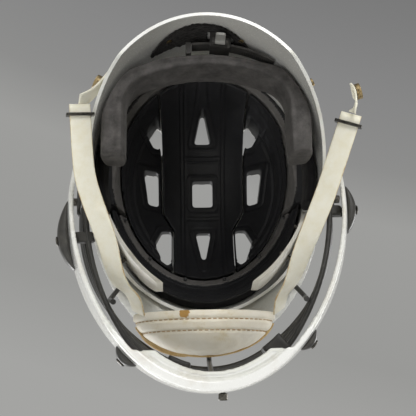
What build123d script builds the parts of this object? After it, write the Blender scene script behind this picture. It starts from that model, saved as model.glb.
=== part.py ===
from build123d import *
import math
import os

# Lacrosse helmet, millimetres. +Z is up, the face looks along -Y, the wearer's left is +X.
# The origin is on the floor, in the middle plane, halfway along the overall length.

# Overall form
overall_length = 334
shell_length = 254
shell_width = 216
crown_height = 262
widest_height = 120
tuck_height = 400
shell_wall = 3
overrun = 5
reach = 500

half_width = shell_width / 2
half_length = shell_length / 2
dome_height = crown_height - widest_height
dome_centre = overall_length / 2 - half_length

# Clearances
seat_gap = 0.3
pad_gap = 0.5
bore_clearance = 0.2
weld_gap = 0.1

# Shell
rim_rest_share = 0.365
shell_edge_y_shares = [0.225, 0.09, 0, -0.09, -0.156, -0.192]
shell_edge_z_shares = [0.092, 0.198, 0.26, 0.36, 0.489, 0.573]
brow_height_share = 0.595
edge_round = 12
vent_ease = 1.5
vent_round = 2.5
ear_slot_length = 30
ear_slot_width = 6
ear_slot_pitch = 12
ear_slot_y_share = 0.14
ear_slot_z_share = 0.44
rear_slot_width = 11
rear_slot_height = 34
rear_slot_x_share = 0.3
rear_slot_z_share = 0.69

# Vents, as shares of half the width and half the length from the dome's centre
centre_vent_shares = [(-0.107, 0.31), (0.107, 0.31), (0.107, 0.085), (-0.107, 0.085)]
rear_vent_shares = [(0, 0.85), (0.09, 0.59), (-0.09, 0.59)]
front_vent_shares = [(-0.08, -0.16), (0.08, -0.16), (0, -0.5)]
side_vent_shares = [
    [(0.43, 0.72), (0.56, 0.57), (0.49, 0.5), (0.43, 0.52)],
    [(0.46, 0.34), (0.6, 0.32), (0.56, 0.05), (0.46, 0.05)],
    [(0.33, -0.16), (0.43, -0.17), (0.49, -0.29), (0.42, -0.46), (0.33, -0.49)],
]

# Visor
visor_wall = 3
visor_low = 124
visor_high = 196
visor_low_overhang = 8.3
visor_high_overhang = -11.1
visor_low_reach = 46
visor_high_reach = -20.1
visor_edge_y_shares = [-0.4, -0.18, 0.03, 0.084, 0.072, -0.06, -0.18, -0.4]
visor_edge_z_shares = [0.527, 0.504, 0.481, 0.511, 0.573, 0.656, 0.71, 0.763]
visor_edge_round = 5

# Wire mask
wire_diameter = 4.6
mask_low = 44
mask_pitch = 20
mask_low_half_width = 106
mask_spread = 4
mask_low_front = 152
mask_rake = 4.6
mask_front_radius = 86
mask_end = 8
top_bar_height = 146
top_bar_inset = 5.6
top_bar_front_radius = 84
top_bar_end_share = -0.135
side_post_high_y_share = -0.232
side_post_low_y_share = -0.262
post_bend = 10
post_ease = 1.2
end_wire_top = 112
bar_names = ["mask_bar_bottom", "mask_bar_lower", "mask_bar_middle", "mask_bar_upper"]

# Chin guard
guard_wall = 4
front_screw_stand = 6
guard_low_half_width = 112
guard_high_half_width = 133
guard_top = 100
guard_chin_height = 52
guard_chin_depth = 49
guard_arm_rise = 56
guard_arm_reach = 46
guard_arm_height = 24
guard_edge_round = 9
lip_width = 16
lip_depth = 33
lip_wall = 3
guard_front = overall_length / 2 - front_screw_stand

# Clips and screws
screw_radius = 2
screw_head_radius = 3.8
screw_head_height = 5.6
screw_length = 11
screw_bite = 2.4
screw_past = 3
nut_radius = 4
nut_height = 2
hook_height = 22
hook_stand = 8
hook_spans = {"side_hook_left": (-50, -6), "side_hook_right": (-22, 14)}
hook_rows = {"side_hook_left": 0, "side_hook_right": 1}
arm_clip_length = 18
arm_clip_height = 12
tab_stand = 6
tab_length = 15
tab_height = 18
clip_height = 18
clip_length = 20
clip_depth = 9
clip_wall = 2.4
shell_clip_height = 12
shell_clip_length = 26
shell_clip_screw_set = 12
visor_clip_length = 12
visor_clip_height = 9
visor_clip_x_share = 0.36
corner_angles = {"front_clip_left": 16, "front_clip_right": -31}
tab_angles = {"corner_tab_left": 33, "corner_tab_right": -43}
front_screw_angle = -4
chin_screw_height = 27

# Liner
liner_thickness = 14
brow_thickness = 10
liner_rear_height = 116
liner_front_height = 151
spine_half_width_shares = [(0.42, 1), (0.42, 0), (0.31, -0.15), (0.31, -1)]
channel = 1.6
crown_half_width_share = 0.8
crown_half_length_share = 0.76
crown_shift_share = 0.14
ring_split_share = -0.12
peg_radius = 1.8
peg_height = 3
peg_count = 6
peg_step = 27
peg_first = -67.5
peg_inset = 4

# Rear pad and its adjuster
rear_pad_low = 30
rear_pad_height = 42
rear_pad_thickness = 15
rear_pad_end_share = 0.13
rear_pad_half_share = 0.74
rear_pad_back_share = 0.725
rear_pad_back_radius = 150
rear_pad_corner_radius = 34
pad_crown = 2.5
pad_corner = 3
carrier_wall = 2
carrier_low = 51
carrier_height = 16
carrier_half_width = 40
carrier_lug_start = 13
carrier_lug_width = 5
strap_band_radius = 117
strap_band_shift = 31
strap_band_wall = 2
strap_band_height = 13
strap_band_low = 34
strap_band_start = -6
strap_band_end = 32
strap_tooth = 0.8
strap_tooth_count = 16
strap_travel = 6
buckle_start = 2
buckle_end = 11
buckle_wall = 1.6
buckle_clearance = 0.4
buckle_margin = 1
lever_pin_radius = 1.25
lever_length = 14
lever_width = 9
lever_wall = 2.4
lever_gap = 0.4
lever_hub_radius = 3
fleece_low = 16
fleece_height = 40
fleece_wall = 2
fleece_left = 50
fleece_right = -40
rivet_radius = 2.6
rivet_height = 1.2
rivet_x = 33

# Side pads and jaw flaps
side_pad_thickness = 12
side_pad_low = 74
side_pad_height = 38
side_pad_start_share = 0.03
side_pad_end_share = 0.26
flap_wall = 3
flap_low = 66
flap_high = 150
flap_low_inset = 10
flap_low_length_inset = 14
flap_high_inset = 5
flap_edge_y_shares = [0.012, -0.19, -0.18, -0.102, -0.024, 0.02]
flap_edge_z_shares = [0.515, 0.53, 0.351, 0.29, 0.298, 0.38]
flap_round = 7
flap_slot_length = 11
flap_slot_width = 4
flap_slot_y_share = -0.06
flap_slot_z_share = 0.36
flap_screw_y_shares = [-0.03, -0.114]
flap_screw_z_shares = [0.427, 0.458]

# Chin cup
cup_half_width = 68
cup_depth = 50.5
cup_drop = 36
cup_back_share = -0.24
cup_height = 96
cup_wall = 4
cup_lining = 5
cup_back_rise = 3
cup_seat_back = 9
cup_seat_drop = 14

# Chin straps, snaps and sliders
strap_width = 18
strap_wall = 2
strap_stations = 8
left_strap_turn = 14
right_strap_turn = 12
slider_wire = 2.4
slider_clearance = 0.5
slider_set = 9
tab_wall = 2
snap_tab_width = 16
snap_tab_ease = 1
snap_tab_stations = 6
stud_y_share = 0.315
stud_z_share = 0.115
stud_flange_radius = 6
stud_flange_height = 1.2
stud_post_radius = 3
stud_post_height = 3.4
stud_head_radius = 3.6
stud_head_height = 1.6
cap_radius = 7
cap_wall = 1.2

# Strap and tab lines, as shares of half the width, the overall length and the height
left_strap_shares = [
    (1.009, 0.24, 0.038), (0.985, 0.105, 0.073), (0.9, -0.015, 0.108),
    (0.79, -0.117, 0.142), (0.7, -0.205, 0.214),
]
right_strap_shares = [
    (-1.148, 0.21, 0.046), (-0.968, 0.045, 0.099), (-0.833, -0.063, 0.137),
    (-0.72, -0.15, 0.18), (-0.64, -0.215, 0.235),
]
free_tab_shares = [(-1.18, 0.235, 0.038), (-1.195, 0.262, 0.052), (-1.185, 0.285, 0.075)]
worn_tab_shares = [(0.3, 0.085), (0.36, 0.12), (0.42, 0.14)]


def form_size(offset, height):
    # Half width and half length of the dome's level section
    rise = dome_height + offset if height > widest_height else tuck_height
    share = math.sqrt(1 - ((height - widest_height) / rise) ** 2)
    return (half_width + offset) * share, (half_length + offset) * share


def dome(offset):
    # Solid helmet form, grown or shrunk by the offset
    wide = half_width + offset
    tall = dome_height + offset
    low = widest_height + overrun
    rim = wide * math.sqrt(1 - (low / tuck_height) ** 2)
    mid = wide * math.sqrt(1 - (low / 2 / tuck_height) ** 2)
    crown = Edge.make_ellipse(wide, tall, Plane.XY, 0, 90)
    side = ThreePointArc((wide, 0), (mid, -low / 2), (rim, -low))
    floor = Line((rim, -low), (0, -low))
    middle = Line((0, -low), (0, tall))
    face = Plane.XZ * make_face([crown, side.edge(), floor.edge(), middle.edge()])
    body = scale(revolve(face, Axis.Z), by=(1, (half_length + offset) / wide, 1))
    return Pos(0, dome_centre, widest_height) * body


def form_point(y, height, offset=0, side=1):
    # Point on the dome at this place along and this height, with its outward direction
    wide, long = form_size(offset, height)
    along = y - dome_centre
    x = side * wide * math.sqrt(1 - (along / long) ** 2)
    rise = dome_height + offset if height > widest_height else tuck_height
    tilt = Vector(
        x / (half_width + offset) ** 2,
        along / (half_length + offset) ** 2,
        (height - widest_height) / rise ** 2,
    )
    return Vector(x, y, height), tilt.normalized()


def side_cut(ys, zs, corner):
    # Prism across the helmet with this outline in side view
    points = list(zip(ys, zs))
    outline = FilletPolyline(*points, radius=corner, close=True)
    return extrude(Plane.YZ * make_face(outline), amount=reach, both=True)


def slab(y_low, y_high, z_low, z_high, x_low=-reach, x_high=reach):
    # Box by its limits
    size = (x_high - x_low, y_high - y_low, z_high - z_low)
    middle = ((x_high + x_low) / 2, (y_high + y_low) / 2, (z_high + z_low) / 2)
    return Pos(*middle) * Box(*size)


def column(shares, corner, ease=0):
    # Upright prism over a plan outline given as shares of the dome
    points = [(x * half_width, dome_centre + y * half_length) for x, y in shares]
    outline = make_face(Polyline(*points, close=True))
    outline = fillet(outline.vertices(), corner)
    if ease:
        outline = offset(outline, ease)
    return extrude(outline, amount=reach)


def vents(ease):
    # All crown vents as upright prisms
    shapes = [centre_vent_shares, rear_vent_shares, front_vent_shares]
    for shares in side_vent_shares:
        shapes.append(shares)
        shapes.append([(-x, y) for x, y in shares])
    cuts = [column(shares, vent_round, ease) for shares in shapes]
    return cuts


def cut_all(body, cuts):
    for cut in cuts:
        body = body - cut
    return body


def oval_parts(half, front, front_radius):
    # Side radius of a three-centre oval
    run = front - front_radius
    return (half ** 2 + run ** 2 - front_radius ** 2) / (2 * (half - front_radius))


def oval_point(half, front, front_radius, y, grow=0):
    # Point of the oval's side arc at this y, and its outward direction; y is from the oval's centre
    side_radius = oval_parts(half, front, front_radius)
    centre = half - side_radius
    turn = math.asin(y / side_radius)
    away = Vector(math.cos(turn), math.sin(turn), 0)
    return Vector(centre, 0, 0) + away * (side_radius + grow)


def oval_path(half, front, front_radius, end, centre_y, height, flip=1):
    # Level U-shaped path of tangent arcs round the front (or the rear with flip -1)
    side_radius = oval_parts(half, front, front_radius)
    side_x = half - side_radius
    run = front - front_radius
    turn = math.atan2(run, -side_x)
    start = 0 if end > 0 else math.asin(end / side_radius)
    middle = (start - turn) / 2

    def place(x, y):
        return Vector(x, centre_y + flip * y, height)

    def on_side(angle):
        return (side_x + side_radius * math.cos(angle), side_radius * math.sin(angle))

    first = on_side(start)
    half_way = on_side(middle)
    last = on_side(-turn)
    pieces = []
    if end > 0:
        pieces.append(Line(place(first[0], end), place(*first)))
    pieces.append(ThreePointArc(place(*first), place(*half_way), place(*last)))
    pieces.append(ThreePointArc(place(*last), place(0, -front), place(-last[0], last[1])))
    pieces.append(ThreePointArc(place(-last[0], last[1]), place(-half_way[0], half_way[1]),
                                place(-first[0], first[1])))
    if end > 0:
        pieces.append(Line(place(-first[0], first[1]), place(-first[0], end)))
    return Wire([piece.edge() for piece in pieces])


def rod(path, radius):
    # Round wire along a path
    start = Plane(origin=path @ 0, z_dir=path % 0)
    return sweep(start * Circle(radius), path=path)


def bent_rod(points, radius, bend):
    # Round wire through points, bent where it turns
    return rod(FilletPolyline(*points, radius=bend).wire(), radius)


def save(shape, name):
    export_step(shape, "parts/" + name + ".step")


# Shell

def shell():
    body = dome(0) - dome(-shell_wall)
    ys = [overall_length, rim_rest_share * overall_length]
    ys += [share * overall_length for share in shell_edge_y_shares]
    ys += [-overall_length, -overall_length, overall_length]
    zs = [0, 0]
    zs += [share * crown_height for share in shell_edge_z_shares]
    zs += [brow_height_share * crown_height, 2 * crown_height, 2 * crown_height]
    body = body & side_cut(ys, zs, edge_round)
    body = cut_all(body, vents(vent_ease))
    for row in (-1, 0, 1):
        height = ear_slot_z_share * crown_height + row * ear_slot_pitch
        slot = SlotOverall(ear_slot_length, ear_slot_width)
        place = Plane((0, ear_slot_y_share * overall_length, height), x_dir=(0, 1, 0), z_dir=(1, 0, 0))
        body = body - extrude(place * slot, amount=reach, both=True)
    for side in (-1, 1):
        slot = SlotOverall(rear_slot_height, rear_slot_width)
        x = side * rear_slot_x_share * half_width
        place = Plane((x, dome_centre, rear_slot_z_share * crown_height), x_dir=(0, 0, 1), z_dir=(0, 1, 0))
        body = body - extrude(place * slot, amount=reach)
    return drill(body, shell_screw_places())


# Screws

def screw(plane, length):
    # Button-headed screw; the plane lies on the surface under its head
    head = Cylinder(screw_head_radius, screw_head_height, align=(Align.CENTER, Align.CENTER, Align.MIN))
    head = fillet(head.edges().group_by(Axis.Z)[-1], screw_head_radius / 3)
    shank = Cylinder(screw_radius, length, align=(Align.CENTER, Align.CENTER, Align.MAX))
    return plane * (head + shank)


def screw_hole(plane, length):
    # Clearance hole for the same screw
    return plane * Cylinder(screw_radius + bore_clearance, 2 * (length + overrun))


def group(solids):
    return Compound(children=solids)


def guard_size(height, inset=0):
    share = height / guard_top
    wide = guard_low_half_width + (guard_high_half_width - guard_low_half_width) * share
    return wide - inset, guard_front - inset


def guard_point(angle, height, inset=0):
    # Point on the guard at this angle from straight ahead, with its outward direction
    wide, long = guard_size(height, inset)
    turn = math.radians(angle)
    x = wide * math.sin(turn)
    y = -long * math.cos(turn)
    slope = (guard_high_half_width - guard_low_half_width) / guard_top
    away = Vector(x / wide ** 2, y / long ** 2, -slope * x ** 2 / wide ** 3).normalized()
    return Vector(x, y, height), away


def guard_point_at(y, height, side, inset=0):
    # The same, found by its place along the helmet
    wide, long = guard_size(height, inset)
    return guard_point(side * math.degrees(math.acos(-y / long)), height, inset)


def arm_middle(y):
    # Height of the arm's middle line at this place along
    start = guard_chin_depth - guard_front
    share = (y - start) / (guard_arm_reach - start)
    low = guard_arm_rise * share
    return low + (guard_chin_height * (1 - share) + guard_arm_height * share) / 2


def hook_middle(name):
    low, high = hook_spans[name]
    return (low + high) / 2


def hook_screws():
    # Plane and length of each screw through a side hook, the guard's arm and its clip
    length = hook_stand + guard_wall + 2 * seat_gap + screw_past
    places = []
    for name, side in (("side_hook_left", 1), ("side_hook_right", -1)):
        y = hook_middle(name)
        point, away = guard_point_at(y, arm_middle(y), side, -2 * seat_gap - hook_stand)
        places.append((Plane(origin=point, z_dir=away), length))
    return places


def tab_screws():
    places = []
    for angle in tab_angles.values():
        point, away = guard_point(angle, chin_screw_height, -2 * seat_gap - tab_stand)
        places.append((Plane(origin=point, z_dir=away), tab_stand + guard_wall + seat_gap + screw_bite))
    return places


def front_screw():
    point = guard_point(front_screw_angle, chin_screw_height)[0]
    return Plane(origin=(point.X, -guard_front - seat_gap, point.Z), z_dir=(0, -1, 0)), screw_length


def shell_clip_screw(side):
    y = mask_end + shell_clip_screw_set
    height = end_wire_top - shell_clip_height / 2
    outer = bar_end_x(mask_rows() - 1) + wire_diameter / 2 + clip_wall
    wall = form_point(y, height)[0].X
    plane = Plane(origin=(side * (outer + seat_gap), y, height), z_dir=(side, 0, 0))
    return plane, outer + seat_gap - wall + screw_bite


def visor_screw(side):
    rise = visor_high - visor_low
    wide_slope = (visor_high_overhang - visor_low_overhang) / rise
    long_slope = (visor_high_reach - visor_low_reach) / rise
    height = (visor_edge_z_shares[3] + visor_edge_z_shares[2]) / 2 * crown_height + screw_head_radius
    wide, long = visor_size(height)
    along = visor_edge_y_shares[2] * overall_length - dome_centre
    x = side * wide * math.sqrt(1 - (along / long) ** 2)
    lean = -wide_slope * x ** 2 / wide ** 3 - long_slope * along ** 2 / long ** 3
    away = Vector(x / wide ** 2, along / long ** 2, lean).normalized()
    point = Vector(x, along + dome_centre, height) + away * seat_gap
    return Plane(origin=point, z_dir=away), screw_length


def flap_screws():
    # Screws through the shell's side wall into each jaw flap
    places = []
    for side in (-1, 1):
        for y_share, z_share in zip(flap_screw_y_shares, flap_screw_z_shares):
            y = y_share * overall_length
            height = z_share * crown_height
            point, away = form_point(y, height, seat_gap, side)
            flap = flap_size(height)
            reach_x = flap[0] * math.sqrt(1 - ((y - dome_centre) / flap[1]) ** 2)
            places.append((Plane(origin=point, z_dir=away), abs(point.X) - reach_x + 2 * flap_wall))
    return places


def guard_screw_places():
    return hook_screws() + tab_screws() + [front_screw()]


def shell_screw_places():
    sides = (-1, 1)
    places = [shell_clip_screw(side) for side in sides]
    return places + [visor_screw(side) for side in sides] + flap_screws()


def drill(body, places):
    # The body with clearance holes for these screws
    return cut_all(body, [screw_hole(plane, length) for plane, length in places])


def screws(places):
    return group([screw(plane, length) for plane, length in places])


def front_nut():
    # Hexagon nut behind the guard's wall on the front screw
    plane, length = front_screw()
    depth = guard_wall + 5 * seat_gap
    nut = extrude(RegularPolygon(nut_radius, 6), amount=-nut_height)
    nut = nut - Cylinder(screw_radius + bore_clearance, length)
    return plane * Pos(0, 0, -depth) * nut


# Visor

def visor_size(height):
    share = (height - visor_low) / (visor_high - visor_low)
    wide = visor_low_overhang + (visor_high_overhang - visor_low_overhang) * share
    long = visor_low_reach + (visor_high_reach - visor_low_reach) * share
    return half_width + wide, half_length + long


def visor_form(inset):
    low = visor_low - overrun
    high = visor_high + overrun
    rings = []
    for height in (low, high):
        wide, long = visor_size(height)
        rings.append(Pos(0, dome_centre, height) * Ellipse(wide - inset, long - inset))
    return loft(rings, ruled=True)


def visor():
    body = visor_form(0) - visor_form(visor_wall) - dome(seat_gap)
    ys = [share * overall_length for share in visor_edge_y_shares]
    zs = [share * crown_height for share in visor_edge_z_shares]
    body = body & side_cut(ys, zs, visor_edge_round)
    return drill(body, [visor_screw(-1), visor_screw(1)])


# Wire mask

def mask_rows():
    return len(bar_names)


def bar_size(row):
    wide = mask_low_half_width + row * mask_spread
    front = mask_low_front - row * mask_rake
    return wide, front, mask_low + row * mask_pitch


def bar_end_x(row):
    return bar_size(row)[0]


def bar_path(row):
    wide, front, height = bar_size(row)
    return oval_path(wide, front, mask_front_radius, mask_end, 0, height)


def top_bar_size():
    wide, long = visor_size(top_bar_height)
    inset = visor_wall + top_bar_inset
    return wide - inset, long - inset


def top_bar_path():
    wide, front = top_bar_size()
    end = top_bar_end_share * overall_length - dome_centre
    return oval_path(wide, front, top_bar_front_radius, end, dome_centre, top_bar_height)


def under_top_bar(x, y, onward):
    # Start of a post under the top bar, low enough for its square-cut end
    lean = (onward - Vector(x, y, top_bar_height)).normalized()
    tip = wire_diameter / 2 * math.sqrt(1 - lean.Z ** 2)
    return Vector(x, y, top_bar_height - wire_diameter / 2 - weld_gap - tip)


def post_point(side, row, y):
    # Point behind a mask bar at this place along
    wide, front, height = bar_size(row)
    drop = 0 if row else wire_diameter
    spot = oval_point(wide, front, mask_front_radius, y, -wire_diameter - post_ease)
    return Vector(side * spot.X, spot.Y, height - drop)


def side_post(side):
    # Wire from the top bar's end down the inside of the other bars
    high = post_point(side, mask_rows() - 1, side_post_high_y_share * overall_length)
    low = post_point(side, 0, side_post_low_y_share * overall_length)
    wide, front = top_bar_size()
    end = top_bar_end_share * overall_length - dome_centre - wire_diameter
    spot = oval_point(wide, front, top_bar_front_radius, end)
    top = under_top_bar(side * spot.X, spot.Y + dome_centre, high)
    return bent_rod([top, high, low], wire_diameter / 2, post_bend)


def centre_post():
    # Wire behind the bars, from under the top bar to the bottom bar
    inward = wire_diameter + post_ease
    points = []
    for row in (mask_rows() - 1, 0):
        wide, bar_front, height = bar_size(row)
        drop = 0 if row else wire_diameter
        points.append(Vector(0, inward - bar_front, height - drop))
    top = under_top_bar(0, dome_centre - top_bar_size()[1], points[0])
    return bent_rod([top] + points, wire_diameter / 2, post_bend)


def end_wire_path(side):
    y = mask_end + wire_diameter / 2 + weld_gap
    low = mask_low - wire_diameter / 2
    lean = mask_spread / mask_pitch
    high_x = bar_end_x(mask_rows() - 1) + lean * (end_wire_top - bar_size(mask_rows() - 1)[2])
    low_x = bar_end_x(0) - lean * wire_diameter / 2
    return Wire([Line((side * low_x, y, low), (side * high_x, y, end_wire_top)).edge()])


# Clips

def shell_clip(side):
    # Rubber clip that holds the mask's end wire to the side of the shell
    outer = bar_end_x(mask_rows() - 1) + wire_diameter / 2 + clip_wall
    y = mask_end - clip_wall
    high = end_wire_top
    body = slab(y, y + shell_clip_length, high - shell_clip_height, high, 0, outer)
    if side < 0:
        body = mirror(body, Plane.YZ)
    body = body - dome(seat_gap)
    body = body - rod(end_wire_path(side), wire_diameter / 2 + bore_clearance)
    body = body - rod(bar_path(mask_rows() - 1), wire_diameter / 2 + bore_clearance)
    return drill(body, [shell_clip_screw(side)])


def visor_clip(side):
    # Loop that holds the top bar against the visor
    x = side * visor_clip_x_share * half_width
    low = top_bar_height - visor_clip_height / 2
    inner = visor_form(visor_wall + seat_gap)
    depth = top_bar_inset + wire_diameter / 2 + clip_wall
    band = inner - visor_form(visor_wall + depth)
    piece = slab(-reach, 0, low, low + visor_clip_height, x - visor_clip_length / 2, x + visor_clip_length / 2)
    return (band & piece) - rod(top_bar_path(), wire_diameter / 2 + bore_clearance)


# Chin guard

def guard_form(inset):
    rings = []
    for height in (-overrun, guard_top):
        wide, long = guard_size(height, inset)
        rings.append(Pos(0, 0, height) * Ellipse(wide, long))
    return loft(rings, ruled=True)


def guard_cut():
    # Side outline of the chin wall and the two rising arms
    start = guard_chin_depth - guard_front
    tip = guard_arm_reach - guard_arm_height / 3
    ys = [-overall_length, start, guard_arm_reach, tip, start, -overall_length]
    zs = [0, 0, guard_arm_rise, guard_arm_rise + guard_arm_height, guard_chin_height, guard_chin_height]
    return side_cut(ys, zs, guard_edge_round)


def chin_guard():
    body = (guard_form(0) - guard_form(guard_wall)) & guard_cut()
    wide, long = guard_size(0)
    lip = Ellipse(wide, long) - Ellipse(wide - lip_width, long - lip_width)
    lip = extrude(lip, amount=lip_wall) & slab(-reach, lip_depth - guard_front, 0, lip_wall)
    body = body + (lip & guard_form(guard_wall / 2))
    return drill(body, guard_screw_places())


def guard_band(inner, outer, piece):
    # Part of the space between two offsets of the guard's form
    return (guard_form(inner) - guard_form(outer)) & piece


def half_space(side):
    return (0, reach) if side > 0 else (-reach, 0)


def side_hook(name, side):
    low, high = hook_spans[name]
    middle = arm_middle(hook_middle(name))
    piece = slab(low, high, middle - hook_height / 2, middle + hook_height / 2, *half_space(side))
    return drill(guard_band(-seat_gap - hook_stand, -seat_gap, piece), hook_screws())


def arm_clip(name, side):
    # Rubber block between the arm and one of the mask's bars
    y = hook_middle(name)
    row = hook_rows[name]
    wide, front, height = bar_size(row)
    low = min(height, arm_middle(y)) - arm_clip_height / 2
    high = max(height, arm_middle(y)) + arm_clip_height / 2
    piece = slab(y - arm_clip_length / 2, y + arm_clip_length / 2, low, high, *half_space(side))
    spot = oval_point(wide, front, mask_front_radius, y)
    depth = guard_point_at(y, height, 1)[0].X - spot.X + wire_diameter / 2 + clip_wall
    body = guard_band(guard_wall + seat_gap, depth, piece)
    for bar in hook_rows.values():
        body = body - rod(bar_path(bar), wire_diameter / 2 + bore_clearance)
    return drill(body, hook_screws())


def corner_tab(name):
    point, away = guard_point(tab_angles[name], chin_screw_height)
    turn = math.degrees(math.atan2(away.Y, away.X))
    box = Box(2 * (tab_stand + guard_wall), tab_length, tab_height)
    box = fillet(box.edges().filter_by(Axis.X), tab_length / 4)
    piece = Pos(*point) * Rot(0, 0, turn) * box
    return drill(guard_band(-seat_gap - tab_stand, -seat_gap, piece), tab_screws())


def chin_clip(name):
    # Rubber block between the chin wall and the mask's bottom bar
    point, away = guard_point(corner_angles[name], mask_low, guard_wall + seat_gap)
    turn = math.degrees(math.atan2(away.Y, away.X))
    wide, front, height = bar_size(0)
    depth = guard_front - front + wire_diameter / 2 + clip_wall + clip_depth
    piece = Pos(point.X, point.Y, height + clip_wall + wire_diameter / 2 - clip_height / 2)
    piece = piece * Rot(0, 0, turn) * Box(2 * depth, clip_length, clip_height)
    body = guard_band(guard_wall + seat_gap, depth, piece)
    return body - rod(bar_path(0), wire_diameter / 2 + bore_clearance)


# Liner

def crown_column(ease):
    middle = dome_centre + crown_shift_share * half_length
    wide = crown_half_width_share * half_width + ease
    long = crown_half_length_share * half_length + ease
    return extrude(Pos(0, middle) * Ellipse(wide, long), amount=reach)


def spine_column(ease):
    points = [(x * half_width + ease, dome_centre + y * half_length) for x, y in spine_half_width_shares]
    points += [(-x, y) for x, y in reversed(points)]
    return extrude(make_face(Polyline(*points, close=True)), amount=reach)


def liner_layer(thickness):
    outer = shell_wall + pad_gap
    body = dome(-outer) - dome(-outer - thickness)
    ys = [overall_length, overall_length, -overall_length, -overall_length]
    slope = (liner_front_height - liner_rear_height) / shell_length
    rear = liner_rear_height - slope * (overall_length - dome_centre - half_length)
    front = liner_front_height + slope * (overall_length + dome_centre - half_length)
    zs = [2 * crown_height, rear, front, 2 * crown_height]
    return body & side_cut(ys, zs, shell_wall)


def liner_spine(layer):
    body = layer & crown_column(-channel / 2) & spine_column(-channel / 2)
    return cut_all(body, vents(0))


def liner_side(layer, side):
    body = layer & crown_column(-channel / 2)
    body = body - spine_column(channel / 2)
    body = body & slab(-reach, reach, 0, reach, *half_space(side))
    return cut_all(body, vents(0))


def brow_pad():
    split = dome_centre + ring_split_share * half_length
    body = liner_layer(brow_thickness) - crown_column(channel / 2)
    return body & slab(-reach, split - channel / 2, 0, reach)


def foam_ring(layer, side):
    split = dome_centre + ring_split_share * half_length
    x_low, x_high = (channel / 2, reach) if side > 0 else (-reach, -channel / 2)
    body = layer - crown_column(channel / 2)
    return body & slab(split + channel / 2, reach, 0, reach, x_low, x_high)


def brow_pegs():
    # Small pegs round the edge of the brow pad
    pegs = []
    middle = dome_centre + crown_shift_share * half_length
    wide = crown_half_width_share * half_width + peg_inset
    long = crown_half_length_share * half_length + peg_inset
    inset = shell_wall + pad_gap + brow_thickness + seat_gap
    for index in range(peg_count):
        turn = math.radians(peg_first + index * peg_step)
        x = wide * math.sin(turn)
        y = middle - long * math.cos(turn)
        across = x / (half_width - inset)
        along = (y - dome_centre) / (half_length - inset)
        rest = 1 - across ** 2 - along ** 2
        rise = (dome_height - inset) * math.sqrt(rest)
        away = Vector(across / (half_width - inset), along / (half_length - inset),
                      rise / (dome_height - inset) ** 2)
        plane = Plane(origin=(x, y, widest_height + rise), z_dir=-away.normalized())
        peg = Cylinder(peg_radius, peg_height, align=(Align.CENTER, Align.CENTER, Align.MIN))
        pegs.append(plane * fillet(peg.edges().group_by(Axis.Z)[-1], peg_radius / 3))
    return Compound(children=pegs)


# Padded bands

def pad_section(thickness, height):
    # Cushion section: all four sides crowned, corners round
    x = thickness / 2 - pad_crown
    y = height / 2 - pad_crown
    corners = [(x, y), (-x, y), (-x, -y), (x, -y)]
    bulges = [(0, y + pad_crown), (-x - pad_crown, 0), (0, -y - pad_crown), (x + pad_crown, 0)]
    edges = []
    for index in range(4):
        edges.append(ThreePointArc(corners[index], bulges[index], corners[(index + 1) % 4]).edge())
    face = make_face(edges)
    return fillet(face.vertices(), pad_corner)


def pad_sweep(path, thickness, height):
    start = Vector(path @ 0)
    along = Vector(path % 0)
    plane = Plane(origin=start, x_dir=Vector(0, 0, 1).cross(along), z_dir=along)
    body = sweep(plane * pad_section(thickness, height), path=path)
    ends = body.faces().filter_by(GeomType.PLANE)
    return fillet(ends.edges(), pad_crown)


def rear_pad_arcs():
    # Centre of the back's flat arc, centre of its left corner arc and the point where they meet
    half = rear_pad_half_share * half_width
    back = dome_centre + rear_pad_back_share * half_length
    flat = Vector(0, back - rear_pad_back_radius)
    across = half - rear_pad_corner_radius
    span = rear_pad_back_radius - rear_pad_corner_radius
    corner = flat + Vector(across, math.sqrt(span ** 2 - across ** 2))
    meet = flat + (corner - flat) * (rear_pad_back_radius / span)
    return flat, corner, meet


def rear_pad():
    # Level path: straight sides, round corners and a flat arc across the back
    flat, corner, meet = rear_pad_arcs()
    height = rear_pad_low + rear_pad_height / 2
    half = corner.X + rear_pad_corner_radius
    end = rear_pad_end_share * overall_length
    turn = math.atan2(meet.Y - corner.Y, meet.X - corner.X) / 2
    bend = corner + Vector(math.cos(turn), math.sin(turn)) * rear_pad_corner_radius
    back = (0, flat.Y + rear_pad_back_radius, height)
    pieces = [Line((half, end, height), (half, corner.Y, height))]
    pieces.append(ThreePointArc((half, corner.Y, height), (bend.X, bend.Y, height),
                                (meet.X, meet.Y, height)))
    pieces.append(ThreePointArc((meet.X, meet.Y, height), back, (-meet.X, meet.Y, height)))
    pieces.append(ThreePointArc((-meet.X, meet.Y, height), (-bend.X, bend.Y, height),
                                (-half, corner.Y, height)))
    pieces.append(Line((-half, corner.Y, height), (-half, end, height)))
    path = Wire([piece.edge() for piece in pieces])
    return pad_sweep(path, rear_pad_thickness, rear_pad_height)


def side_pad(side):
    height = side_pad_low + side_pad_height / 2
    inset = shell_wall + pad_gap + side_pad_thickness / 2
    wide, long = form_size(-inset, height)
    points = []
    for share in (side_pad_start_share, (side_pad_start_share + side_pad_end_share) / 2, side_pad_end_share):
        y = share * overall_length
        x = wide * math.sqrt(1 - ((y - dome_centre) / long) ** 2)
        points.append((side * x, y, height))
    path = Wire([ThreePointArc(*points).edge()])
    return pad_sweep(path, side_pad_thickness, side_pad_height)


# Rear adjuster

def band_ring(inner, outer, low, high, start, end):
    # Sector of a level ring about the adjuster's axis; angles from straight back, to the wearer's right
    plan = Circle(outer) - Circle(inner)
    wedge_reach = 3 * outer
    a = math.radians(90 + start)
    b = math.radians(90 + end)
    wedge = make_face(Polyline((0, 0), (wedge_reach * math.cos(a), wedge_reach * math.sin(a)),
                               (wedge_reach * math.cos(b), wedge_reach * math.sin(b)), close=True))
    ring = extrude(plan & wedge, amount=high - low)
    return Pos(0, strap_band_shift, low) * ring


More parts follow.
